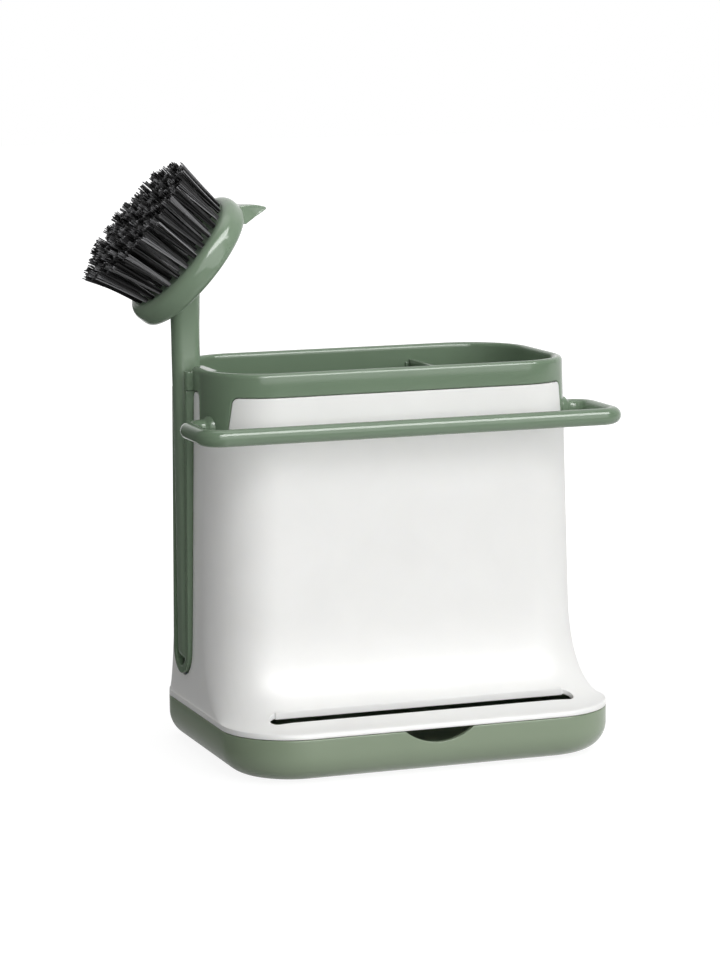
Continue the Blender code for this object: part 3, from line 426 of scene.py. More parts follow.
notch_radius = ((NOTCH_WIDTH / 2) ** 2 + NOTCH_DEPTH ** 2) / (2 * NOTCH_DEPTH)
notch_centre_z = TRAY_HEIGHT - NOTCH_DEPTH + notch_radius
half_angle = asin(NOTCH_WIDTH / 2 / notch_radius)
outline = []
for share in steps_to(32, 2.0):
    angle = half_angle * (share - 1)
    outline.append((notch_radius * sin(angle), notch_centre_z - notch_radius * cos(angle)))
above = TRAY_HEIGHT + TRAY_LIP_HEIGHT
outline += [(NOTCH_WIDTH / 2 + NOTCH_DEPTH / 4, above), (-NOTCH_WIDTH / 2 - NOTCH_DEPTH / 4, above)]
front = -BASE_DEPTH / 2
shape_with(tray, prism("notch", outline, "Y", front - TRAY_WALL, front + 2 * TRAY_WALL))

# The same plastic twice. The insert's is glossy, with long clear highlights. The tray's copy is painted
# paler, as painted light for the light that the white floor throws up onto it, and is softer in gloss.
green = moulded_plastic("sage polypropylene", colour(SAGE_HEX), SAGE_ROUGHNESS)
tray_green_painted_light = moulded_plastic("sage polypropylene painted lighter for the tray", colour(TRAY_PAINTED_LIGHT_HEX), TRAY_ROUGHNESS)
finish_piece(tray, tray_green_painted_light, "green_plastic", "tray", "drip_tray")


# Feet
# Four small moulded discs of black rubber, each set in a recess under the tray, with an eased
# lower edge.

FOOT_RADIUS = 0.006
FOOT_EASE = 0.0004
FOOT_SIDES = 48


def circle(radius, sides):
    """Points of a regular outline round the origin."""
    return [(radius * cos(2 * pi * i / sides), radius * sin(2 * pi * i / sides)) for i in range(sides)]


# Matt rubber: dull, with a dusty bloom in specks of about 1.4 mm and no highlight.
rubber, tree = new_material("matt black rubber")
place = add_node(tree, "TexCoord").outputs["Object"]
dust = add_node(tree, "TexNoise", {"Vector": place, "Scale": 700.0, "Detail": 5.0})
tone = add_node(tree, "Mix", {0: dust.outputs["Fac"], 6: colour("2B2B2A"), 7: colour("3C3B38")},
                data_type="RGBA")
skin = add_node(tree, "Bump", {"Height": dust.outputs["Fac"], "Strength": 0.3, "Distance": 0.00005})
shader = add_node(tree, "BsdfPrincipled", {"Base Color": tone.outputs[2], "Roughness": 0.85,
                                           "Normal": skin.outputs["Normal"]})
add_node(tree, "OutputMaterial", {"Surface": shader.outputs[0]})
for name in ("foot_front_left", "foot_front_right", "foot_back_left", "foot_back_right"):
    low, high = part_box(name)
    centre_x = (low[0] + high[0]) / 2
    centre_y = (low[1] + high[1]) / 2
    levels = ((low[2], FOOT_EASE), (low[2] + FOOT_EASE / 3, FOOT_EASE / 3), (low[2] + FOOT_EASE, 0.0),
              (high[2], 0.0))
    rings = [[(centre_x + a, centre_y + b, z) for a, b in circle(FOOT_RADIUS - inset, FOOT_SIDES)]
             for z, inset in levels]
    finish_piece(loft(name + "_visual", rings), rubber, "foot_rubber", "tray", name)


# Body shell
# White ABS column, moulded in one piece and dropped over the tray's lip. It flares at the front into
# a ledge with a long drain slot. The left wall has an upright slot for the brush channel, and two
# corners of the top edge are cut away for the tabs that carry the towel rail.

COLUMN_WIDTH = 0.174
COLUMN_SETBACK = 0.0418
COLUMN_BACK_LEAN = 0.0027
COLUMN_FRONT_RADIUS = 0.0285
COLUMN_BACK_RADIUS = 0.033
SIDE_FLARE = 0.0017
FLARE_TOP = 0.066
LEDGE_HEIGHT = 0.0227
LEDGE_EDGE_RADIUS = 0.0023
FLARE_POWER = 2.34
RIM_TOP = 0.1788
BAND_BOTTOM = 0.168
TAB_BOTTOM = 0.1475
TAB_FRONT_ANGLE = radians(47.0)
TAB_FRONT_SLANT = radians(4.5)
TAB_BACK_Y = 0.0058
TAB_BACK_SLANT = 0.0006
TAB_CORNER_RADIUS = 0.003
CHANNEL_Y = 0.027
CHANNEL_WIDTH = 0.023
CHANNEL_WALL = 0.0018
CHANNEL_BACK_X = -0.0772
SLOT_HALF_WIDTH = CHANNEL_WIDTH / 2 + 0.0009
SLOT_BOTTOM = 0.0337
SLOT_MOUTH_RADIUS = 0.003
SLOT_CENTRE_Z = SLOT_BOTTOM + SLOT_HALF_WIDTH
DRAIN_SLOT_LENGTH = 0.147
DRAIN_SLOT_WIDTH = 0.0078
DRAIN_SLOT_FROM_FRONT = 0.0211
DRAIN_LIP_LOW = 0.0249
DRAIN_LIP_HIGH = 0.0281
DRAIN_LIP_THICKNESS = 0.0015
SHELL_HEX = "F4F4F2"
SHELL_ROUGHNESS = 0.42
SIDE_DRAFT = (BASE_WIDTH / 2 - SIDE_FLARE - COLUMN_WIDTH / 2) / (RIM_TOP - TRAY_HEIGHT)


def outer_size(z, flare=0.0, edge=0.0):
    """Half width, front Y, back Y, front radius and back radius of the outer surface."""
    lift = (z - TRAY_HEIGHT) / (RIM_TOP - TRAY_HEIGHT)
    half_width = COLUMN_WIDTH / 2 + (RIM_TOP - z) * SIDE_DRAFT + SIDE_FLARE * flare
    front = -BASE_DEPTH / 2 + LEDGE_EDGE_RADIUS * (1 - edge)
    front += (COLUMN_SETBACK - LEDGE_EDGE_RADIUS) * (1 - flare)
    back = BASE_DEPTH / 2 - COLUMN_BACK_LEAN * lift
    swell = BASE_FRONT_RADIUS - LEDGE_EDGE_RADIUS - COLUMN_FRONT_RADIUS
    front_radius = COLUMN_FRONT_RADIUS + swell * flare + LEDGE_EDGE_RADIUS * edge
    back_radius = BASE_BACK_RADIUS + (COLUMN_BACK_RADIUS - BASE_BACK_RADIUS) * lift
    return half_width, front, back, front_radius, back_radius


def level_ring(stations, z, inset=0.0, flare=0.0, edge=0.0):
    """A level ring on the outer surface, or an inset inside it."""
    count = len(stations)
    return ring(stations, [outer_size(z, flare, edge)] * count, [inset] * count, [z] * count)


def top_edge(gap):
    """Stations and heights of the line where the white shell meets the green band and tabs."""
    turn = gap / COLUMN_FRONT_RADIUS
    corner = TAB_CORNER_RADIUS
    corner_turn = corner / COLUMN_FRONT_RADIUS
    band = BAND_BOTTOM - gap
    foot = TAB_BOTTOM - gap
    low_angle = TAB_FRONT_ANGLE + TAB_FRONT_SLANT
    line = [(station, band) for station in corner_stations("front", 0, 36)]
    for bend in steps_to(8, pi / 2):
        angle = TAB_FRONT_ANGLE - turn - corner_turn * (1 - sin(bend))
        line.append((("front", angle), band - corner * (1 - cos(bend))))
    for bend in steps_to(8, pi / 2):
        angle = low_angle - turn + corner_turn * (1 - cos(bend))
        line.append((("front", angle), foot + corner * (1 - sin(bend))))
    line += [(station, foot) for station in corner_stations("front", 60, 90)]
    low_y = TAB_BACK_Y + gap - TAB_BACK_SLANT
    for bend in steps_to(8, pi / 2):
        line.append((("side", low_y - corner * (1 - sin(bend))), foot + corner * (1 - cos(bend))))
    for bend in steps_to(8, pi / 2):
        y = TAB_BACK_Y + gap + TAB_BACK_SLANT + corner * (1 - cos(bend))
        line.append((("side", y), band - corner * (1 - sin(bend))))
    line += [(station, band) for station in corner_stations("back")]
    return line


def edge_ring(line, inset_at, share=1.0, low=0.0):
    """Ring along the edge line, or at a share of the way up to it from a level ring."""
    stations = [station for station, _ in line]
    heights = [low + (height - low) * share for _, height in line]
    sizes = [outer_size(height) for height in heights]
    return ring(stations, sizes, [inset_at(height) for height in heights], heights)


def upright_slot(half_width, top, steps=24):
    """Outline in Y and Z of a slot with a half-round bottom, open at the top."""
    arc = []
    for turn in steps_to(steps, pi):
        arc.append((CHANNEL_Y - half_width * cos(turn), SLOT_CENTRE_Z - half_width * sin(turn)))
    return arc + [(CHANNEL_Y + half_width, top), (CHANNEL_Y - half_width, top)]


def rounded_rectangle(centre_a, centre_b, width, height, radius, steps=8):
    """Outline of a rectangle with round corners, anticlockwise."""
    points = []
    for quarter, (side_a, side_b) in enumerate(((1, 1), (-1, 1), (-1, -1), (1, -1))):
        corner_a = centre_a + side_a * (width / 2 - radius)
        corner_b = centre_b + side_b * (height / 2 - radius)
        for step in range(steps + 1):
            angle = (quarter + step / steps) * pi / 2
            points.append((corner_a + radius * cos(angle), corner_b + radius * sin(angle)))
    return points


line = top_edge(SEAM)
stations = [station for station, _ in line]
shell_rings = [level_ring(stations, TRAY_HEIGHT + SEAM, 0.0, 1.0, 1.0)]
for turn in steps_to(8, pi / 2):
    z = LEDGE_HEIGHT - LEDGE_EDGE_RADIUS * (1 - sin(turn))
    if z > TRAY_HEIGHT + SEAM:
        shell_rings.append(level_ring(stations, z, 0.0, 1.0, cos(turn)))
for turn in reversed(steps_to(36, pi / 2)[:-1]):
    flare = 1 - cos(turn) ** (2 / FLARE_POWER)
    z = FLARE_TOP - (FLARE_TOP - LEDGE_HEIGHT) * sin(turn) ** (2 / FLARE_POWER)
    shell_rings.append(level_ring(stations, z, 0.0, flare))
for share in steps_to(6)[1:]:
    shell_rings.append(edge_ring(line, lambda z: 0.0, share, FLARE_TOP))
shell = loft("body_shell_visual", shell_rings, capped=False)
wall = shell.modifiers.new("wall", "SOLIDIFY")
wall.thickness = SHELL_WALL
wall.offset = -1.0
wall.use_even_offset = True
wall.use_quality_normals = True
settle(shell)

slot_top = BAND_BOTTOM - SEAM
outline = upright_slot(SLOT_HALF_WIDTH, slot_top)[:-2]
mouth = []
for turn in steps_to(8, pi / 2):
    mouth.append((SLOT_HALF_WIDTH + SLOT_MOUTH_RADIUS * (1 - cos(turn)),
                  slot_top - SLOT_MOUTH_RADIUS * (1 - sin(turn))))
mouth.append((SLOT_HALF_WIDTH + SLOT_MOUTH_RADIUS, RIM_TOP))
outline += [(CHANNEL_Y + offset, z) for offset, z in mouth]
outline += [(CHANNEL_Y - offset, z) for offset, z in reversed(mouth)]
shape_with(shell, prism("brush_slot", outline, "X", -BASE_WIDTH / 2 - SHELL_WALL, CHANNEL_BACK_X))
slot_y = -BASE_DEPTH / 2 + DRAIN_SLOT_FROM_FRONT
end_radius = (DRAIN_SLOT_WIDTH - SEAM / 2) / 2
outline = rounded_rectangle(0.0, slot_y, DRAIN_SLOT_LENGTH, DRAIN_SLOT_WIDTH, end_radius, 12)
shape_with(shell, prism("drain_slot", outline, "Z", TRAY_HEIGHT / 2, FLARE_TOP))
lip_front = slot_y + DRAIN_SLOT_WIDTH / 2 - SEAM
lip_back = lip_front + DRAIN_LIP_THICKNESS
lip_outline = [(lip_front, DRAIN_LIP_LOW), (lip_back, DRAIN_LIP_LOW), (lip_back, DRAIN_LIP_HIGH),
               (lip_front, DRAIN_LIP_HIGH)]
lip_half = DRAIN_SLOT_LENGTH / 2 - end_radius
merge(shell, [prism("drain_slot_lip", lip_outline, "X", -lip_half, lip_half)])

# ABS with a satin finish: even and bright, with broad soft highlights and no sharp reflections.
white = moulded_plastic("satin white ABS", colour(SHELL_HEX), SHELL_ROUGHNESS)
finish_piece(shell, white, "white_plastic", "shell", "body_shell")


# Top insert
# One green polypropylene moulding that hangs in the shell's mouth: a rim band flush with the
# shell, two tabs at the front corners, the basket with its slotted floor, guide ribs for the
# divider, and the bay and collar that the brush stands in.

CREST_HEIGHT = 0.0022
BAND_EDGE_RADIUS = 0.0007
BASKET_WALL = 0.002
BASKET_DRAFT = 0.012
BASKET_BOTTOM = 0.044
BASKET_FLOOR = 0.0022
BASKET_BOTTOM_RADIUS = 0.005
DRAIN_HOLE_WIDTH = 0.003
DRAIN_HOLE_LENGTH = 0.046
DRAIN_HOLE_PITCH = 0.0105
DRAIN_HOLE_MARGIN = 0.012
DIVIDER_X = 0.0365
DIVIDER_THICKNESS = 0.002
DIVIDER_TOP = 0.172
GUIDE_WIDTH = 0.0015
GUIDE_HEIGHT = 0.0017
CHANNEL_LIP_X = -0.0904
CHANNEL_LEAN = 0.0135
CHANNEL_MOUTH = 0.0162
CHANNEL_MOUTH_DEPTH = 0.0016
COLLAR_TOP = 0.1766
BAY_TOP = 0.1752


def basket_inset(z):
    """How far the basket's outer wall lies inside the shell's outer surface."""
    return SHELL_WALL + SLIDE_FIT + (BAND_BOTTOM - z) * (SIDE_DRAFT + BASKET_DRAFT)


def basket_inner_y(z, front):
    """Y of the basket's inside face at the front or the back."""
    size = outer_size(z)
    depth = basket_inset(z) + BASKET_WALL
    return size[1] + depth if front else size[2] - depth


def basket_ring(stations, z, inset):
    """A level ring whose back corners keep the radius of the shell's mouth."""
    half_width, front, back, front_radius, _ = outer_size(z)
    size = (half_width, front, back, front_radius, outer_size(BAND_BOTTOM)[4])
    return ring(stations, [size] * len(stations), [inset] * len(stations), [z] * len(stations))


line = top_edge(0.0)
stations = [station for station, _ in line]
rings = []
for turn in steps_to(6, pi / 2):
    z = BASKET_BOTTOM + BASKET_BOTTOM_RADIUS * (1 - cos(turn))
    rings.append(basket_ring(stations, z, basket_inset(z) + BASKET_BOTTOM_RADIUS * (1 - sin(turn))))
rings.append(edge_ring(line, basket_inset))
for turn in steps_to(5, pi / 2):
    inset = BAND_EDGE_RADIUS * (1 - sin(turn))
    rings.append(edge_ring(top_edge(-BAND_EDGE_RADIUS * (1 - cos(turn))), lambda z: inset))
rim_thickness = basket_inset(BAND_BOTTOM) + BASKET_WALL
for turn in steps_to(20, pi):
    inset = rim_thickness / 2 * (1 - cos(turn))
    rings.append(level_ring(stations, RIM_TOP - CREST_HEIGHT * (1 - sin(turn)), inset))
basket_floor = BASKET_BOTTOM + BASKET_FLOOR
inner_radius = BASKET_BOTTOM_RADIUS - BASKET_WALL
for turn in steps_to(6, pi / 2):
    z = basket_floor + inner_radius * (1 - sin(turn))
    rings.append(basket_ring(stations, z, basket_inset(z) + BASKET_WALL + inner_radius * (1 - cos(turn))))
insert = loft("top_insert_visual", rings)

channel_half = CHANNEL_WIDTH / 2
bay_x = CHANNEL_BACK_X + SEAM
bay_wall_x = bay_x + CHANNEL_WALL
bay_half = channel_half + SEAM
bay_rings = []
for z in (BASKET_BOTTOM + BASKET_FLOOR / 2, BAY_TOP):
    outer_x = -(outer_size(z)[0] - basket_inset(z) - BASKET_WALL / 2)
    outline = rounded_rectangle((outer_x + bay_wall_x) / 2, CHANNEL_Y, bay_wall_x - outer_x,
                                2 * (bay_half + CHANNEL_WALL), CHANNEL_WALL)
    bay_rings.append([(x, y, z) for x, y in outline])
shape_with(insert, loft("bay_wall", bay_rings), "UNION")
collar_depth = bay_wall_x - SEAM - CHANNEL_LIP_X
collar_outline = rounded_rectangle(CHANNEL_LIP_X + collar_depth / 2, CHANNEL_Y, collar_depth, CHANNEL_WIDTH,
                                   CHANNEL_WALL / 2)
shape_with(insert, prism("collar", collar_outline, "Z", BAND_BOTTOM, COLLAR_TOP), "UNION")
outside = -BASE_WIDTH
outline = [(outside, CHANNEL_Y - bay_half), (bay_x, CHANNEL_Y - bay_half),
           (bay_x, CHANNEL_Y + bay_half), (outside, CHANNEL_Y + bay_half)]
shape_with(insert, prism("bay", outline, "Z", BASKET_BOTTOM / 2, BAND_BOTTOM))
pocket = channel_half - CHANNEL_WALL
lip_step = CHANNEL_LIP_X + CHANNEL_MOUTH_DEPTH
side = [(outside, CHANNEL_MOUTH / 2), (lip_step, CHANNEL_MOUTH / 2), (lip_step, pocket),
        (CHANNEL_BACK_X - CHANNEL_WALL, pocket)]
outline = [(x, CHANNEL_Y - y) for x, y in side] + [(x, CHANNEL_Y + y) for x, y in reversed(side)]
shape_with(insert, prism("collar_bore", outline, "Z", BAND_BOTTOM - CHANNEL_WALL, 2 * RIM_TOP))

centre_y = (basket_inner_y(basket_floor, True) + basket_inner_y(basket_floor, False)) / 2
hole_x = bay_wall_x + DRAIN_HOLE_MARGIN
last_x = outer_size(basket_floor)[0] - basket_inset(basket_floor) - BASKET_WALL - DRAIN_HOLE_MARGIN
clear_of_divider = DIVIDER_THICKNESS / 2 + SLIDE_FIT + GUIDE_WIDTH + DRAIN_HOLE_WIDTH / 2
while hole_x <= last_x:
    if abs(hole_x - DIVIDER_X) > clear_of_divider:
        outline = rounded_rectangle(hole_x, centre_y, DRAIN_HOLE_WIDTH, DRAIN_HOLE_LENGTH,
                                    (DRAIN_HOLE_WIDTH - SEAM / 2) / 2, 6)
        shape_with(insert, prism("drain_hole", outline, "Z", BASKET_BOTTOM - BASKET_FLOOR,
                                 BASKET_BOTTOM + 2 * BASKET_FLOOR))
    hole_x += DRAIN_HOLE_PITCH

guides = []
guide_spacing = DIVIDER_THICKNESS / 2 + SLIDE_FIT + GUIDE_WIDTH / 2
for front_side in (True, False):
    inward = 1 if front_side else -1
    for side_sign in (-1, 1):
        guide_x = DIVIDER_X + side_sign * guide_spacing
        rings = []
        for z in (basket_floor - BASKET_FLOOR / 2, DIVIDER_TOP - GUIDE_HEIGHT):
            near_wall = basket_inner_y(z, front_side)
            ends = (near_wall - inward * BASKET_WALL / 2, near_wall + inward * GUIDE_HEIGHT)
            low_y, high_y = sorted(ends)
            outline = rounded_rectangle(guide_x, (low_y + high_y) / 2, GUIDE_WIDTH, high_y - low_y,
                                        GUIDE_WIDTH / 3)
            rings.append([(x, y, z) for x, y in outline])
        guides.append(loft("guide", rings))
merge(insert, guides)
finish_piece(insert, green, "green_plastic", "insert", "top_insert")


# Towel rail
# Green bar about 8 mm thick, moulded with the insert. It grows out of the two tabs with a swell at
# each root and runs round the front of the shell, so that a cloth can hang over it.

RAIL_RADIUS = 0.0039
RAIL_HEIGHT = 0.1534
RAIL_WIDTH = 0.2042
RAIL_REACH = 0.0168
RAIL_FRONT_BEND = 0.008
RAIL_ROOT_BEND = 0.00846
RAIL_ROOT_Y = -0.006
RAIL_ROOT_FLARE = 1.35
RAIL_ROOT_SHARE = 0.9
RAIL_SIDES = 32
RAIL_CRISP_ANGLE = 60

side_x = RAIL_WIDTH / 2 - RAIL_RADIUS
rail_front_y = outer_size(RAIL_HEIGHT)[1] - RAIL_REACH
wall_x = outer_size(RAIL_HEIGHT)[0]
root_length = RAIL_ROOT_SHARE * (side_x - RAIL_ROOT_BEND - wall_x)
half_path = [(wall_x - 2 * SHELL_WALL, RAIL_ROOT_Y, RAIL_ROOT_FLARE)]
for step in steps_to(8):
    swell = RAIL_ROOT_FLARE + (1.0 - RAIL_ROOT_FLARE) * sin(step * pi / 2)
    half_path.append((wall_x + root_length * step, RAIL_ROOT_Y, swell))
for turn in steps_to(16, pi / 2)[1:]:
    half_path.append((side_x - RAIL_ROOT_BEND * (1 - sin(turn)),
                      RAIL_ROOT_Y - RAIL_ROOT_BEND * (1 - cos(turn)), 1.0))
for turn in steps_to(20, pi / 2):
    half_path.append((side_x - RAIL_FRONT_BEND * (1 - cos(turn)),
                      rail_front_y + RAIL_FRONT_BEND * (1 - sin(turn)), 1.0))
path = [(-x, y, swell) for x, y, swell in half_path] + list(reversed(half_path))
sections = []
for index, (x, y, swell) in enumerate(path):
    before = path[max(index - 1, 0)]
    after = path[min(index + 1, len(path) - 1)]
    along = Vector((after[0] - before[0], after[1] - before[1], 0.0)).normalized()
    across = Vector((along.y, -along.x, 0.0))
    middle = Vector((x, y, RAIL_HEIGHT))
    sections.append([middle + RAIL_RADIUS * swell * (across * a + Vector((0, 0, b)))
                     for a, b in circle(1.0, RAIL_SIDES)])
rail = loft("towel_rail_visual", sections, sharp=RAIL_CRISP_ANGLE)
outward(rail)
finish_piece(rail, green, "green_plastic", "insert", "towel_rail")


# Brush channel
# Green upright polypropylene trough, set in the shell's slot under the insert's collar. Its
# inturned lips lean out a little, and the sill of its half-round foot holds the handle's tip.

CHANNEL_STEPS = 36

outline = upright_slot(channel_half, slot_top, CHANNEL_STEPS)
lips = [(CHANNEL_LIP_X - (RIM_TOP - z) * CHANNEL_LEAN, y, z) for y, z in outline]
channel = loft("brush_channel_visual", [lips, [(CHANNEL_BACK_X, y, z) for y, z in outline]])
outline = upright_slot(channel_half - CHANNEL_WALL, RIM_TOP, CHANNEL_STEPS)
shape_with(channel, prism("pocket", outline, "X", lip_step, CHANNEL_BACK_X - CHANNEL_WALL))
outline = upright_slot(CHANNEL_MOUTH / 2, RIM_TOP + SEAM, CHANNEL_STEPS)
shape_with(channel, prism("mouth", outline, "X", 2 * CHANNEL_LIP_X, lip_step + CHANNEL_WALL))
finish_piece(channel, green, "green_plastic", "insert", "brush_channel")


# Divider
# Flat green polypropylene plate with eased edges. It stands across the basket, loose between its
# guide ribs, and slides up and out.

DIVIDER_EDGE_RADIUS = 0.0006

corner = BASKET_BOTTOM_RADIUS - BASKET_WALL
low_z = basket_floor + SEAM
outline = [
    (basket_inner_y(basket_floor, True) + SLIDE_FIT + corner, low_z),
    (basket_inner_y(basket_floor, False) - SLIDE_FIT - corner, low_z),
    (basket_inner_y(low_z + corner, False) - SLIDE_FIT, low_z + corner),
    (basket_inner_y(DIVIDER_TOP, False) - SLIDE_FIT, DIVIDER_TOP),
    (basket_inner_y(DIVIDER_TOP, True) + SLIDE_FIT, DIVIDER_TOP),
    (basket_inner_y(low_z + corner, True) + SLIDE_FIT, low_z + corner),
]
half_thickness = DIVIDER_THICKNESS / 2
divider = prism("divider_visual", outline, "X", DIVIDER_X - half_thickness, DIVIDER_X + half_thickness)
outward(divider)
edge = divider.modifiers.new("edge", "BEVEL")
edge.width = DIVIDER_EDGE_RADIUS
edge.segments = 4
settle(divider)
finish_piece(divider, green, "green_plastic", "divider", "divider")


# Brush body
# One green polypropylene moulding: a handle, wide and flat at the grip and square at the neck, a
# round tilted head with a raised plate for the tufts, and a scraper beak on the head's back.

GRIP_WIDTH = 0.0136
GRIP_DEPTH = 0.0117
NECK_WIDTH = 0.0105
NECK_DEPTH = 0.0127
HANDLE_CORNER = 0.0041
NECK_SWELL_START = 1.04
NECK_SWELL = 1.14
HANDLE_GRIP_X = -0.0865
HANDLE_NECK_X = -0.0871
HANDLE_BEND_LOW = 0.125
HANDLE_BEND_HIGH = 0.190
HEAD_RADIUS = 0.0333
HEAD_DEPTH = 0.0102
HEAD_BULGE = 0.0012
HEAD_WIDEST = 0.0024
HEAD_FACE = 0.0028
HEAD_PLATE_RADIUS = 0.0302
HEAD_BACK_POWER = 6.0
HEAD_SIDES = 128
HEAD_X = -0.0880
HEAD_Z = 0.2288
HEAD_TILT = radians(40.0)
SCRAPER_WIDTH = 0.019
SCRAPER_ROOT = (0.0290, -0.0090)
SCRAPER_TAPER = 0.5
SCRAPER_SIDE = (
    (0.0310, -0.0030), (0.0346, -0.0060), (0.0368, -0.0086), (0.0394, -0.0119), (0.0412, -0.0150),
    (0.0417, -0.0163), (0.0412, -0.0170), (0.0390, -0.0163), (0.0347, -0.0145), (0.0290, -0.0125),
    (0.0265, -0.0090))
SCRAPER_ACROSS = (
    (-1.0, 0.86), (-0.985, 0.94), (-0.95, 0.985), (-0.88, 1.0), (0.88, 1.0), (0.95, 0.985), (0.985, 0.94),
    (1.0, 0.86))
BRISTLE_BED_RADIUS = 0.0296
BRISTLE_BED_DEPTH = 0.0018
# The brush's sage is painted paler than the insert's, as painted light.
BRUSH_PAINTED_LIGHT_HEX = "80937D"
BRUSH_ROUGHNESS = 0.14


def ease(value):
    """A smooth step from 0 to 1."""
    value = min(max(value, 0.0), 1.0)
    return value * value * (3 - 2 * value)


def handle_ring(z, scale=1.0, thinning=1.0):
    """Section of the handle: wide and flat at the grip, square at the neck."""
    bend = ease((z - HANDLE_BEND_LOW) / (HANDLE_BEND_HIGH - HANDLE_BEND_LOW))
    width = (GRIP_WIDTH + (NECK_WIDTH - GRIP_WIDTH) * bend) * scale
    depth = (GRIP_DEPTH + (NECK_DEPTH - GRIP_DEPTH) * bend) * scale * thinning
    x = HANDLE_GRIP_X + (HANDLE_NECK_X - HANDLE_GRIP_X) * bend
    outline = rounded_rectangle(x, CHANNEL_Y, depth, width, HANDLE_CORNER * scale * thinning)
    return [Vector((a, b, z)) for a, b in outline]


tip_z = SLOT_CENTRE_Z - CHANNEL_MOUTH / 2 + SEAM
tip_radius = GRIP_WIDTH / 2
rings = []
for degrees in range(6, 90, 12):
    angle = radians(degrees)
    rings.append(handle_ring(tip_z + tip_radius * (1 - cos(angle)), sin(angle), sin(angle)))
for rise in steps_to(6, HANDLE_BEND_LOW - tip_z - tip_radius):
    rings.append(handle_ring(tip_z + tip_radius + rise))
for step in steps_to(20)[1:]:
    rings.append(handle_ring(HANDLE_BEND_LOW + (HANDLE_BEND_HIGH - HANDLE_BEND_LOW) * step))
neck_top = HEAD_Z - HEAD_RADIUS * cos(HEAD_TILT)
for share in steps_to(6)[1:]:
    z = HANDLE_BEND_HIGH + (neck_top - HANDLE_BEND_HIGH) * share
    rings.append(handle_ring(z, 1.0 + (NECK_SWELL_START - 1.0) * share ** 2))
root = handle_ring(HEAD_Z, NECK_SWELL)
for point in root:
    point.z += (-HEAD_DEPTH / 2 + (point.x - HEAD_X) * cos(HEAD_TILT)) / sin(HEAD_TILT)
rings.append(root)
brush = loft("brush_body_visual", rings)

head_turn = Matrix.Rotation(-(pi / 2 - HEAD_TILT), 4, "Y")
head_place = Matrix.Translation((HEAD_X, CHANNEL_Y, HEAD_Z)) @ head_turn
bed = BRISTLE_BED_RADIUS + SEAM
profile = [(bed, HEAD_FACE - BRISTLE_BED_DEPTH - SEAM), (bed, HEAD_FACE)]
head_side = HEAD_RADIUS + HEAD_BULGE
rim_rise = HEAD_FACE + HEAD_WIDEST
for turn in steps_to(12, pi / 2):
    profile.append((HEAD_PLATE_RADIUS + (head_side - HEAD_PLATE_RADIUS) * sin(turn),
                    HEAD_FACE - rim_rise * (1 - cos(turn))))
for turn in steps_to(24, pi / 2)[1:-1]:
    profile.append((head_side * cos(turn) ** (2 / HEAD_BACK_POWER),
                    -HEAD_WIDEST - (HEAD_DEPTH - HEAD_WIDEST) * sin(turn) ** (2 / HEAD_BACK_POWER)))
rings = []
for radius, height in profile:
    rings.append([head_place @ Vector((a, b, height)) for a, b in circle(radius, HEAD_SIDES)])
shape_with(brush, loft("head", rings), "UNION")
root_x, root_z = SCRAPER_ROOT
tip_x = max(x for x, z in SCRAPER_SIDE)
rings = []
for across, share in SCRAPER_ACROSS:
    outline = []
    for x, z in SCRAPER_SIDE:
        narrow = 1 - SCRAPER_TAPER * max(x - root_x, 0.0) / (tip_x - root_x)
        width = across * SCRAPER_WIDTH / 2 * narrow
        place = Vector((root_x + (x - root_x) * share, width, root_z + (z - root_z) * share))
        outline.append(head_place @ place)
    rings.append(outline)
shape_with(brush, loft("scraper", rings), "UNION")

# The brush's plastic is painted a shade paler than the insert's, as painted light for the brighter light on
# the head, and is glossy on the handle's round corners.
brush_green_painted_light = moulded_plastic("sage polypropylene painted lighter for the brush", colour(BRUSH_PAINTED_LIGHT_HEX), BRUSH_ROUGHNESS)
finish_piece(brush, brush_green_painted_light, "green_plastic", "brush", "brush_body")


# Bristles
# Black nylon filaments in round tufts, stapled in rings in the head's face, fanning outward and
# cut to slightly uneven lengths. A real filament is about 0.3 mm thick and is drawn twice as
# thick, so that it shows.

BRISTLE_LENGTH = 0.0264
BRISTLE_SPLAY = 1.12
BRISTLE_DROOP = 0.0016
TUFT_LEAN = 0.0006
TUFT_LENGTH_SPREAD = 0.035
FILAMENT_LENGTH_SPREAD = 0.022
FILAMENT_TIP_SPREAD = 0.0002
FILAMENT_BOW = 0.18
FILAMENT_RADIUS = 0.00033
FILAMENT_LEVELS = (0.0, 0.4, 0.75, 1.0)
FILAMENT_SIDES = 3
FILAMENT_CRISP_ANGLE = 50
FILAMENTS_PER_TUFT = 20
TUFT_RADIUS = 0.0009
TUFT_TIP_RADIUS = 0.0025
TUFT_TIP_LEAST = 0.88
TUFT_TIP_SPREAD = 0.2
TUFT_RINGS = ((0.0286, 30), (0.0228, 24), (0.0170, 18), (0.0112, 12), (0.0054, 6))
GOLDEN_ANGLE = 2.39996
GOLDEN_SHARE = 0.618034
PAINTED_HIGHLIGHT_STEP = 0.37
BED_SIDES = 96

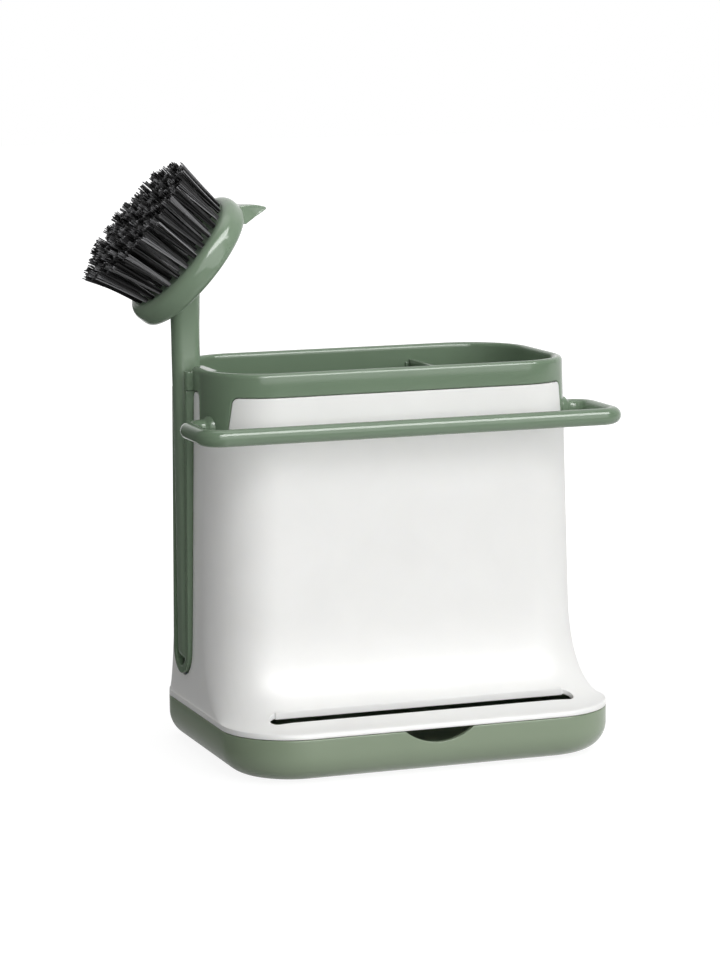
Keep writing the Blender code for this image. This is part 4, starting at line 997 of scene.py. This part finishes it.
chance = random.Random(11)
side_turns = [2 * pi * side / FILAMENT_SIDES for side in range(FILAMENT_SIDES)]
last_level = len(FILAMENT_LEVELS) - 1
points = []
faces = []
painted_highlight_shares = []
for ring_radius, count in TUFT_RINGS:
    for i in range(count):
        angle = 2 * pi * (i + 0.5) / count
        foot = Vector((ring_radius * cos(angle), ring_radius * sin(angle), HEAD_FACE))
        lean = Vector((chance.gauss(0, TUFT_LEAN) - BRISTLE_DROOP, chance.gauss(0, TUFT_LEAN), 0.0))
        tuft_tip = Vector((foot.x, foot.y, 0.0)) * BRISTLE_SPLAY + lean
        tuft_length = BRISTLE_LENGTH * (1 - abs(chance.gauss(0, TUFT_LENGTH_SPREAD)))
        for strand in range(FILAMENTS_PER_TUFT):
            share = sqrt((strand + 0.5) / FILAMENTS_PER_TUFT)
            twist = strand * GOLDEN_ANGLE + angle
            out = Vector((cos(twist), sin(twist), 0.0)) * share
            base = foot + out * TUFT_RADIUS
            length = tuft_length * (1 - abs(chance.gauss(0, FILAMENT_LENGTH_SPREAD)))
            tip = tuft_tip + out * TUFT_TIP_RADIUS * (TUFT_TIP_LEAST + TUFT_TIP_SPREAD * chance.random())
            tip += Vector((chance.gauss(0, FILAMENT_TIP_SPREAD), chance.gauss(0, FILAMENT_TIP_SPREAD),
                           HEAD_FACE + length))
            start = len(points)
            for level in FILAMENT_LEVELS:
                middle = base.lerp(tip, level)
                middle += (tip - base - Vector((0, 0, length))) * FILAMENT_BOW * (level * level - level)
                for turn in side_turns:
                    offset = Vector((cos(turn + twist), sin(turn + twist), 0.0))
                    points.append(head_place @ (middle + offset * FILAMENT_RADIUS))
            for level in range(last_level):
                for side in range(FILAMENT_SIDES):
                    a = start + FILAMENT_SIDES * level + side
                    b = start + FILAMENT_SIDES * level + (side + 1) % FILAMENT_SIDES
                    faces.append((a, b, b + FILAMENT_SIDES, a + FILAMENT_SIDES))
            faces.append(tuple(range(start + FILAMENT_SIDES * last_level, len(points))))
            painted_highlight_shares += [(GOLDEN_SHARE * strand + PAINTED_HIGHLIGHT_STEP * i) % 1.0] * (len(points) - start)
bristles = mesh_object("bristles_visual", points, faces, FILAMENT_CRISP_ANGLE)
# Each filament's share picks whether it is painted grey as a painted highlight.
bristles.data.attributes.new("strand_painted_highlight", "FLOAT", "POINT").data.foreach_set("value", painted_highlight_shares)

# Drawn nylon: each filament keeps one tone along its length. Most of them are black and some are painted
# grey, as painted highlights for filaments that catch the light. The gloss varies in spots of about 3 mm.
nylon, tree = new_material("black nylon filament with painted highlights")
place = add_node(tree, "TexCoord").outputs["Object"]
streak = add_node(tree, "TexNoise", {"Vector": place, "Scale": 300.0, "Detail": 1.0})
strand_painted_highlight = add_node(tree, "Attribute", attribute_name="strand_painted_highlight")
split = add_node(tree, "MapRange", {"Value": strand_painted_highlight.outputs["Fac"], "From Min": 0.60,
                                    "From Max": 0.95})
tone = add_node(tree, "Mix", {0: split.outputs["Result"], 6: colour("0E0E0F"), 7: colour("8E8E90")},
                data_type="RGBA")
gloss = add_node(tree, "MapRange", {"Value": streak.outputs["Fac"], "To Min": 0.28, "To Max": 0.5})
shader = add_node(tree, "BsdfPrincipled", {"Base Color": tone.outputs[2],
                                           "Roughness": gloss.outputs["Result"]})
add_node(tree, "OutputMaterial", {"Surface": shader.outputs[0]})
finish_piece(bristles, nylon, "black_bristle", "brush", "bristles")

# The bed takes the brush's green, which is painted paler as painted light.
bed_rings = [[head_place @ Vector((a, b, height)) for a, b in circle(bed, BED_SIDES)]
             for height in (HEAD_FACE - BRISTLE_BED_DEPTH, HEAD_FACE)]
finish_piece(loft("bristle_bed_visual", bed_rings), brush_green_painted_light, "green_plastic", "brush")
